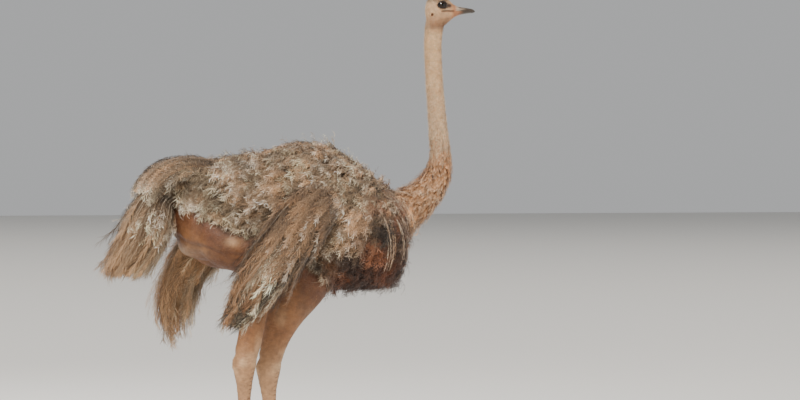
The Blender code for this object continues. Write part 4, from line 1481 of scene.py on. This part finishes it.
def tufts(name, roots, facing, length, width, blades, lift, colours, uv, seed):
    """Small tufts of tapered blades, each blade two ribbons long with a pointed tip."""
    rng = np.random.default_rng(seed)
    count = len(roots)
    shape, each = (count, blades, 1), (count, blades, 3)
    normal = facing[:, None]
    lie = unit(head_lie(roots))[:, None] + 0.5 * rng.normal(size=each)
    lie = unit(lie - normal * dot(lie, normal)[..., None])
    angle = np.clip(lift[:, None, None] * rng.uniform(0.5, 1.5, shape), 0.05, 1.4)
    long = length[:, None, None] * rng.uniform(0.6, 1.25, shape)
    start = roots[:, None] - normal * 0.0006 + 0.15 * long * rng.normal(size=each) * 0.5
    first = lie * np.cos(angle) + normal * np.sin(angle)
    second = lie * np.cos(angle * 0.45) + normal * np.sin(angle * 0.45)
    middle = start + first * 0.5 * long
    across = unit(np.cross(first, normal) + 0.3 * rng.normal(size=each))
    wide = across * (width[:, None, None] * rng.uniform(0.7, 1.2, shape) / 2)
    narrow = wide * 0.8
    points = [start - wide, start + wide, middle - narrow, middle + narrow, middle + second * 0.5 * long]
    share = np.array([0, 0, 0.5, 0.5, 1.0])
    at = share[None, None, :, None]
    root_colour, tip_colour = (c[:, None, None] for c in colours)
    tones = (root_colour * (1 - at) + tip_colour * at) * (1 + 0.12 * rng.normal(size=(count, blades, 1, 1)))
    patches = rng.uniform(-0.4, 0.4, (count, blades, 1, 2)) + np.zeros((1, 1, len(points), 2))
    patches[..., 1] += (share - 0.5) * 0.2
    base = np.arange(count * blades)[:, None] * len(points)
    owner = np.repeat(np.arange(count), blades * len(points))
    coat_pieces(name, uv, owner, np.stack(points, axis=2).reshape(-1, 3), tones.reshape(-1, 3),
                patches.reshape(-1, 2), [base + [0, 2, 3, 1], base + [2, 4, 3]])


def head_lie(p):
    """Bristles on the head sweep back and down, those on the neck lie down along it."""
    _, y, z = (p - EYE_MIDDLE).T
    back = vectors(-1, 0.2 * np.sign(y), -0.25 - 6 * np.clip(0.02 - z, 0, 0.2))
    return unit(mix(back, np.array([-0.05, 0, -1]), step(-0.06, -0.10, z)))


def down_colours(p, seed):
    """Off-white down, greyer and browner on the crown."""
    rel = p - EYE_MIDDLE
    x, _, z = rel.T
    fine = patchy(p, 0.012, seed)
    crown = step(0.006, 0.024, z) * step(0.035, 0.015, x)
    spots = step(0.55, 0.85, patchy(p, 0.009, seed + 1)) * step(0.03, -0.06, z)
    root = layered("neck_skin", ("throat", fine), ("grey_brown", 0.7 * crown))
    crown = crown * (0.25 + 0.5 * fine)
    tip = layered("off_white", ("orange_tan", 0.30 * fine), ("throat", 0.55 * spots), ("grey_brown", crown))
    return marked(root, rel, "throat"), marked(tip, rel, "flank")


def neck_down():
    def density(p):
        x, _, z = p.T
        return step(1.24, 1.32, z) * step(0.44, 0.5, x) * (z < EYE_MIDDLE[2] - 0.075)

    roots, facing = scattered(density, 0.0030, 5000)
    rng = np.random.default_rng(5001)
    high = step(1.30, 1.75, roots[:, 2])
    length = mix(0.013, 0.0075, high) * rng.uniform(0.7, 1.3, len(roots))
    lift = mix(0.45, 0.55, high) + 0.2 * rng.random(len(roots))
    uv = unwrapped(roots, [0.57, 0, 1.55], (0, 0, 1), 0.7)
    width = mix(0.0009, 0.0006, high)
    tufts("neck_down", roots, facing, length, width, 3, lift, down_colours(roots, 21), uv, 5002)


def flank_hair():
    """Sparse short hair on the bare flank and thighs."""

    def density(p):
        x, _, z = p.T
        return step(0.03, 0.0, z - feather_edge(x)) * step(0.52, 0.60, z) * step(0.25, 0.10, x)

    roots, facing = scattered(density, 0.014, 5300)
    rng = np.random.default_rng(5301)
    count = len(roots)
    uv = unwrapped(roots, [-0.1, 0, 0.8], (0, 0, 1), 0.9)
    colours = [linear(colour) + np.zeros((count, 3)) for colour in ("flank", "leg_pale")]
    tufts("flank_hair", roots, facing, rng.uniform(0.005, 0.010, count), np.full(count, 0.00045), 1,
          rng.uniform(0.2, 0.5, count), colours, uv, 5302)


def head_down():
    def density(p):
        x, _, z = (p - EYE_MIDDLE).T
        thin = step(-0.090, -0.050, z) * 0.6 + 0.4
        bill = step(BILL_BASE - 0.004, BILL_BASE - 0.014, x)
        gape = (np.abs(z - MOUTH) > 0.0035) | (x < -0.008)
        chance = (z > -0.085) * thin * (ear_gap(x, z) > 1.1) * bill * gape
        for hand in SIDES.values():
            _, distance, _, past = about_eye(p, hand)
            chance *= 1 - (past < math.radians(9)) * (distance < 0.035)
        return chance

    roots, facing = scattered(density, 0.00165, 5100)
    rng = np.random.default_rng(5101)
    x, _, z = (roots - EYE_MIDDLE).T
    crown = step(0.008, 0.022, z) * step(0.040, 0.020, x)
    low = step(-0.045, -0.085, z)
    length = (0.0042 + 0.0034 * crown + 0.0030 * low) * rng.uniform(0.6, 1.4, len(roots))
    length *= mix(1.0, 0.55, step(0.015, 0.04, x))
    uv = unwrapped(roots, EYE_MIDDLE - [0, 0, 0.02], (1, 0, 0), 0.16)
    tufts("head_down", roots, facing, length, 0.00042 + 0.00018 * low, 3, 0.35 + 0.45 * crown,
          down_colours(roots, 22), uv, 5102)


def lashes():
    """Dark curved lashes along each upper lid."""
    rng = np.random.default_rng(5200)
    rings, sides = 6, 3
    points, roots = [], []
    for hand in SIDES.values():
        centre, axis, ahead, up = eye_frame(hand)
        for around in np.linspace(math.radians(18), math.radians(160), LASHES_EACH):
            around += rng.normal(0, 0.02)
            away = lid_opening(around) + math.radians(3.5)
            spoke = ahead * math.cos(around) + up * math.sin(around)
            root = centre + (axis * math.cos(away) + spoke * math.sin(away)) * (EYE_RADIUS + 0.0016)
            length = rng.uniform(0.0075, 0.0115)
            heading = unit(axis * 1.0 + spoke * 0.35 + ahead * 0.25 - UP * 0.10 + rng.normal(0, 0.08, 3))
            side = unit(np.cross(heading, UP))
            over = unit(np.cross(side, heading))
            for q in np.linspace(0, 1, rings):
                middle = root + heading * length * q + (UP * 0.45 + spoke * 0.1) * length * q**2
                half = 0.00021 * (1 - 0.85 * q)
                points += [middle + side * half, middle - side * half * 0.5 + over * half,
                           middle - side * half * 0.5 - over * half]
            roots.append(root)
    count, each = len(roots), rings * sides
    quads = (np.arange(count)[:, None, None] * each + ring_quads(rings, sides)).reshape(-1, 4)
    patch = np.stack([np.repeat([-0.4, 0.0, 0.4, -0.4], 5)[:each], np.arange(each) / each - 0.5], axis=1)
    uv = unwrapped(np.array(roots), EYE_MIDDLE, (1, 0, 0), 0.16)
    coat_pieces("lashes", uv, np.repeat(np.arange(count), each), np.array(points),
                linear("lid") * 0.7 + np.zeros((count * each, 3)), np.tile(patch, (count, 1)), [quads])


body_feathers()
breast_strands()
wings()
tail()
neck_feathers()
neck_down()
head_down()
flank_hair()
lashes()


# ---------------------------------------------------------------- floor, light and camera

FLOOR_HALF = 60.0
# The direction the camera looks from, how far off it is, how wide a view it has, and the point it looks at.
VIEW_AZIMUTH = math.radians(-15)
VIEW_DISTANCE, VIEW_WIDTH, SENSOR_WIDTH = 12.0, 3.02, 36
VIEW_RIGHT, VIEW_HEIGHT = 0.415, 1.117
CAMERA_HEIGHT = 1.27


def plain_floor():
    half = np.array([FLOOR_HALF, FLOOR_HALF, 0])
    made = block(-half - [0, 0, 0.02], half)
    made.name = "floor"
    shade = bpy.data.materials.new("floor")
    shade.use_nodes = True
    shader = shade.node_tree.nodes["Principled BSDF"]
    shader.inputs["Base Color"].default_value = (0.82, 0.80, 0.76, 1)
    shader.inputs["Roughness"].default_value = 0.9
    made.data.materials.append(shade)


def lamp(name, kind, place, target, size, power, colour):
    """A soft light: size is a disk's width in metres, or a sun's in degrees."""
    data = bpy.data.lights.new(name, kind)
    if kind == "SUN":
        data.angle = math.radians(size)
    else:
        data.shape = "DISK"
        data.size = size
    data.energy = power
    data.color = colour
    made = bpy.data.objects.new(name, data)
    made.location = place
    made.rotation_euler = (Vector(place) - Vector(target)).to_track_quat("Z", "Y").to_euler()
    bpy.context.scene.collection.objects.link(made)


def studio():
    world = bpy.data.worlds.new("studio")
    world.use_nodes = True
    sky = world.node_tree.nodes["Background"]
    sky.inputs["Color"].default_value = (0.86, 0.87, 0.88, 1)
    sky.inputs["Strength"].default_value = 0.52
    bpy.context.scene.world = world
    lamp("key", "SUN", (-2.2, -4.2, 5.2), (0, 0, 1.0), 16, 4.0, (1.0, 0.955, 0.90))
    lamp("fill", "AREA", (4.5, -3.0, 2.5), (0, 0, 1.1), 3.0, 60, (0.97, 0.98, 1.0))
    lamp("back", "AREA", (-1.5, 4.5, 4.5), (0, 0, 1.2), 3.0, 160, (1.0, 0.98, 0.95))


def camera():
    data = bpy.data.cameras.new("camera")
    made = bpy.data.objects.new("camera", data)
    right = Vector((math.cos(VIEW_AZIMUTH), math.sin(VIEW_AZIMUTH), 0))
    back = Vector((math.sin(VIEW_AZIMUTH), -math.cos(VIEW_AZIMUTH), 0))
    aim = right * VIEW_RIGHT + Vector((0, 0, VIEW_HEIGHT))
    made.location = right * VIEW_RIGHT + back * VIEW_DISTANCE + Vector((0, 0, CAMERA_HEIGHT))
    made.rotation_euler = (made.location - aim).to_track_quat("Z", "Y").to_euler()
    data.sensor_width = SENSOR_WIDTH
    data.lens = SENSOR_WIDTH * VIEW_DISTANCE / VIEW_WIDTH
    data.clip_end = 200
    bpy.context.scene.collection.objects.link(made)
    bpy.context.scene.camera = made


plain_floor()
studio()
camera()
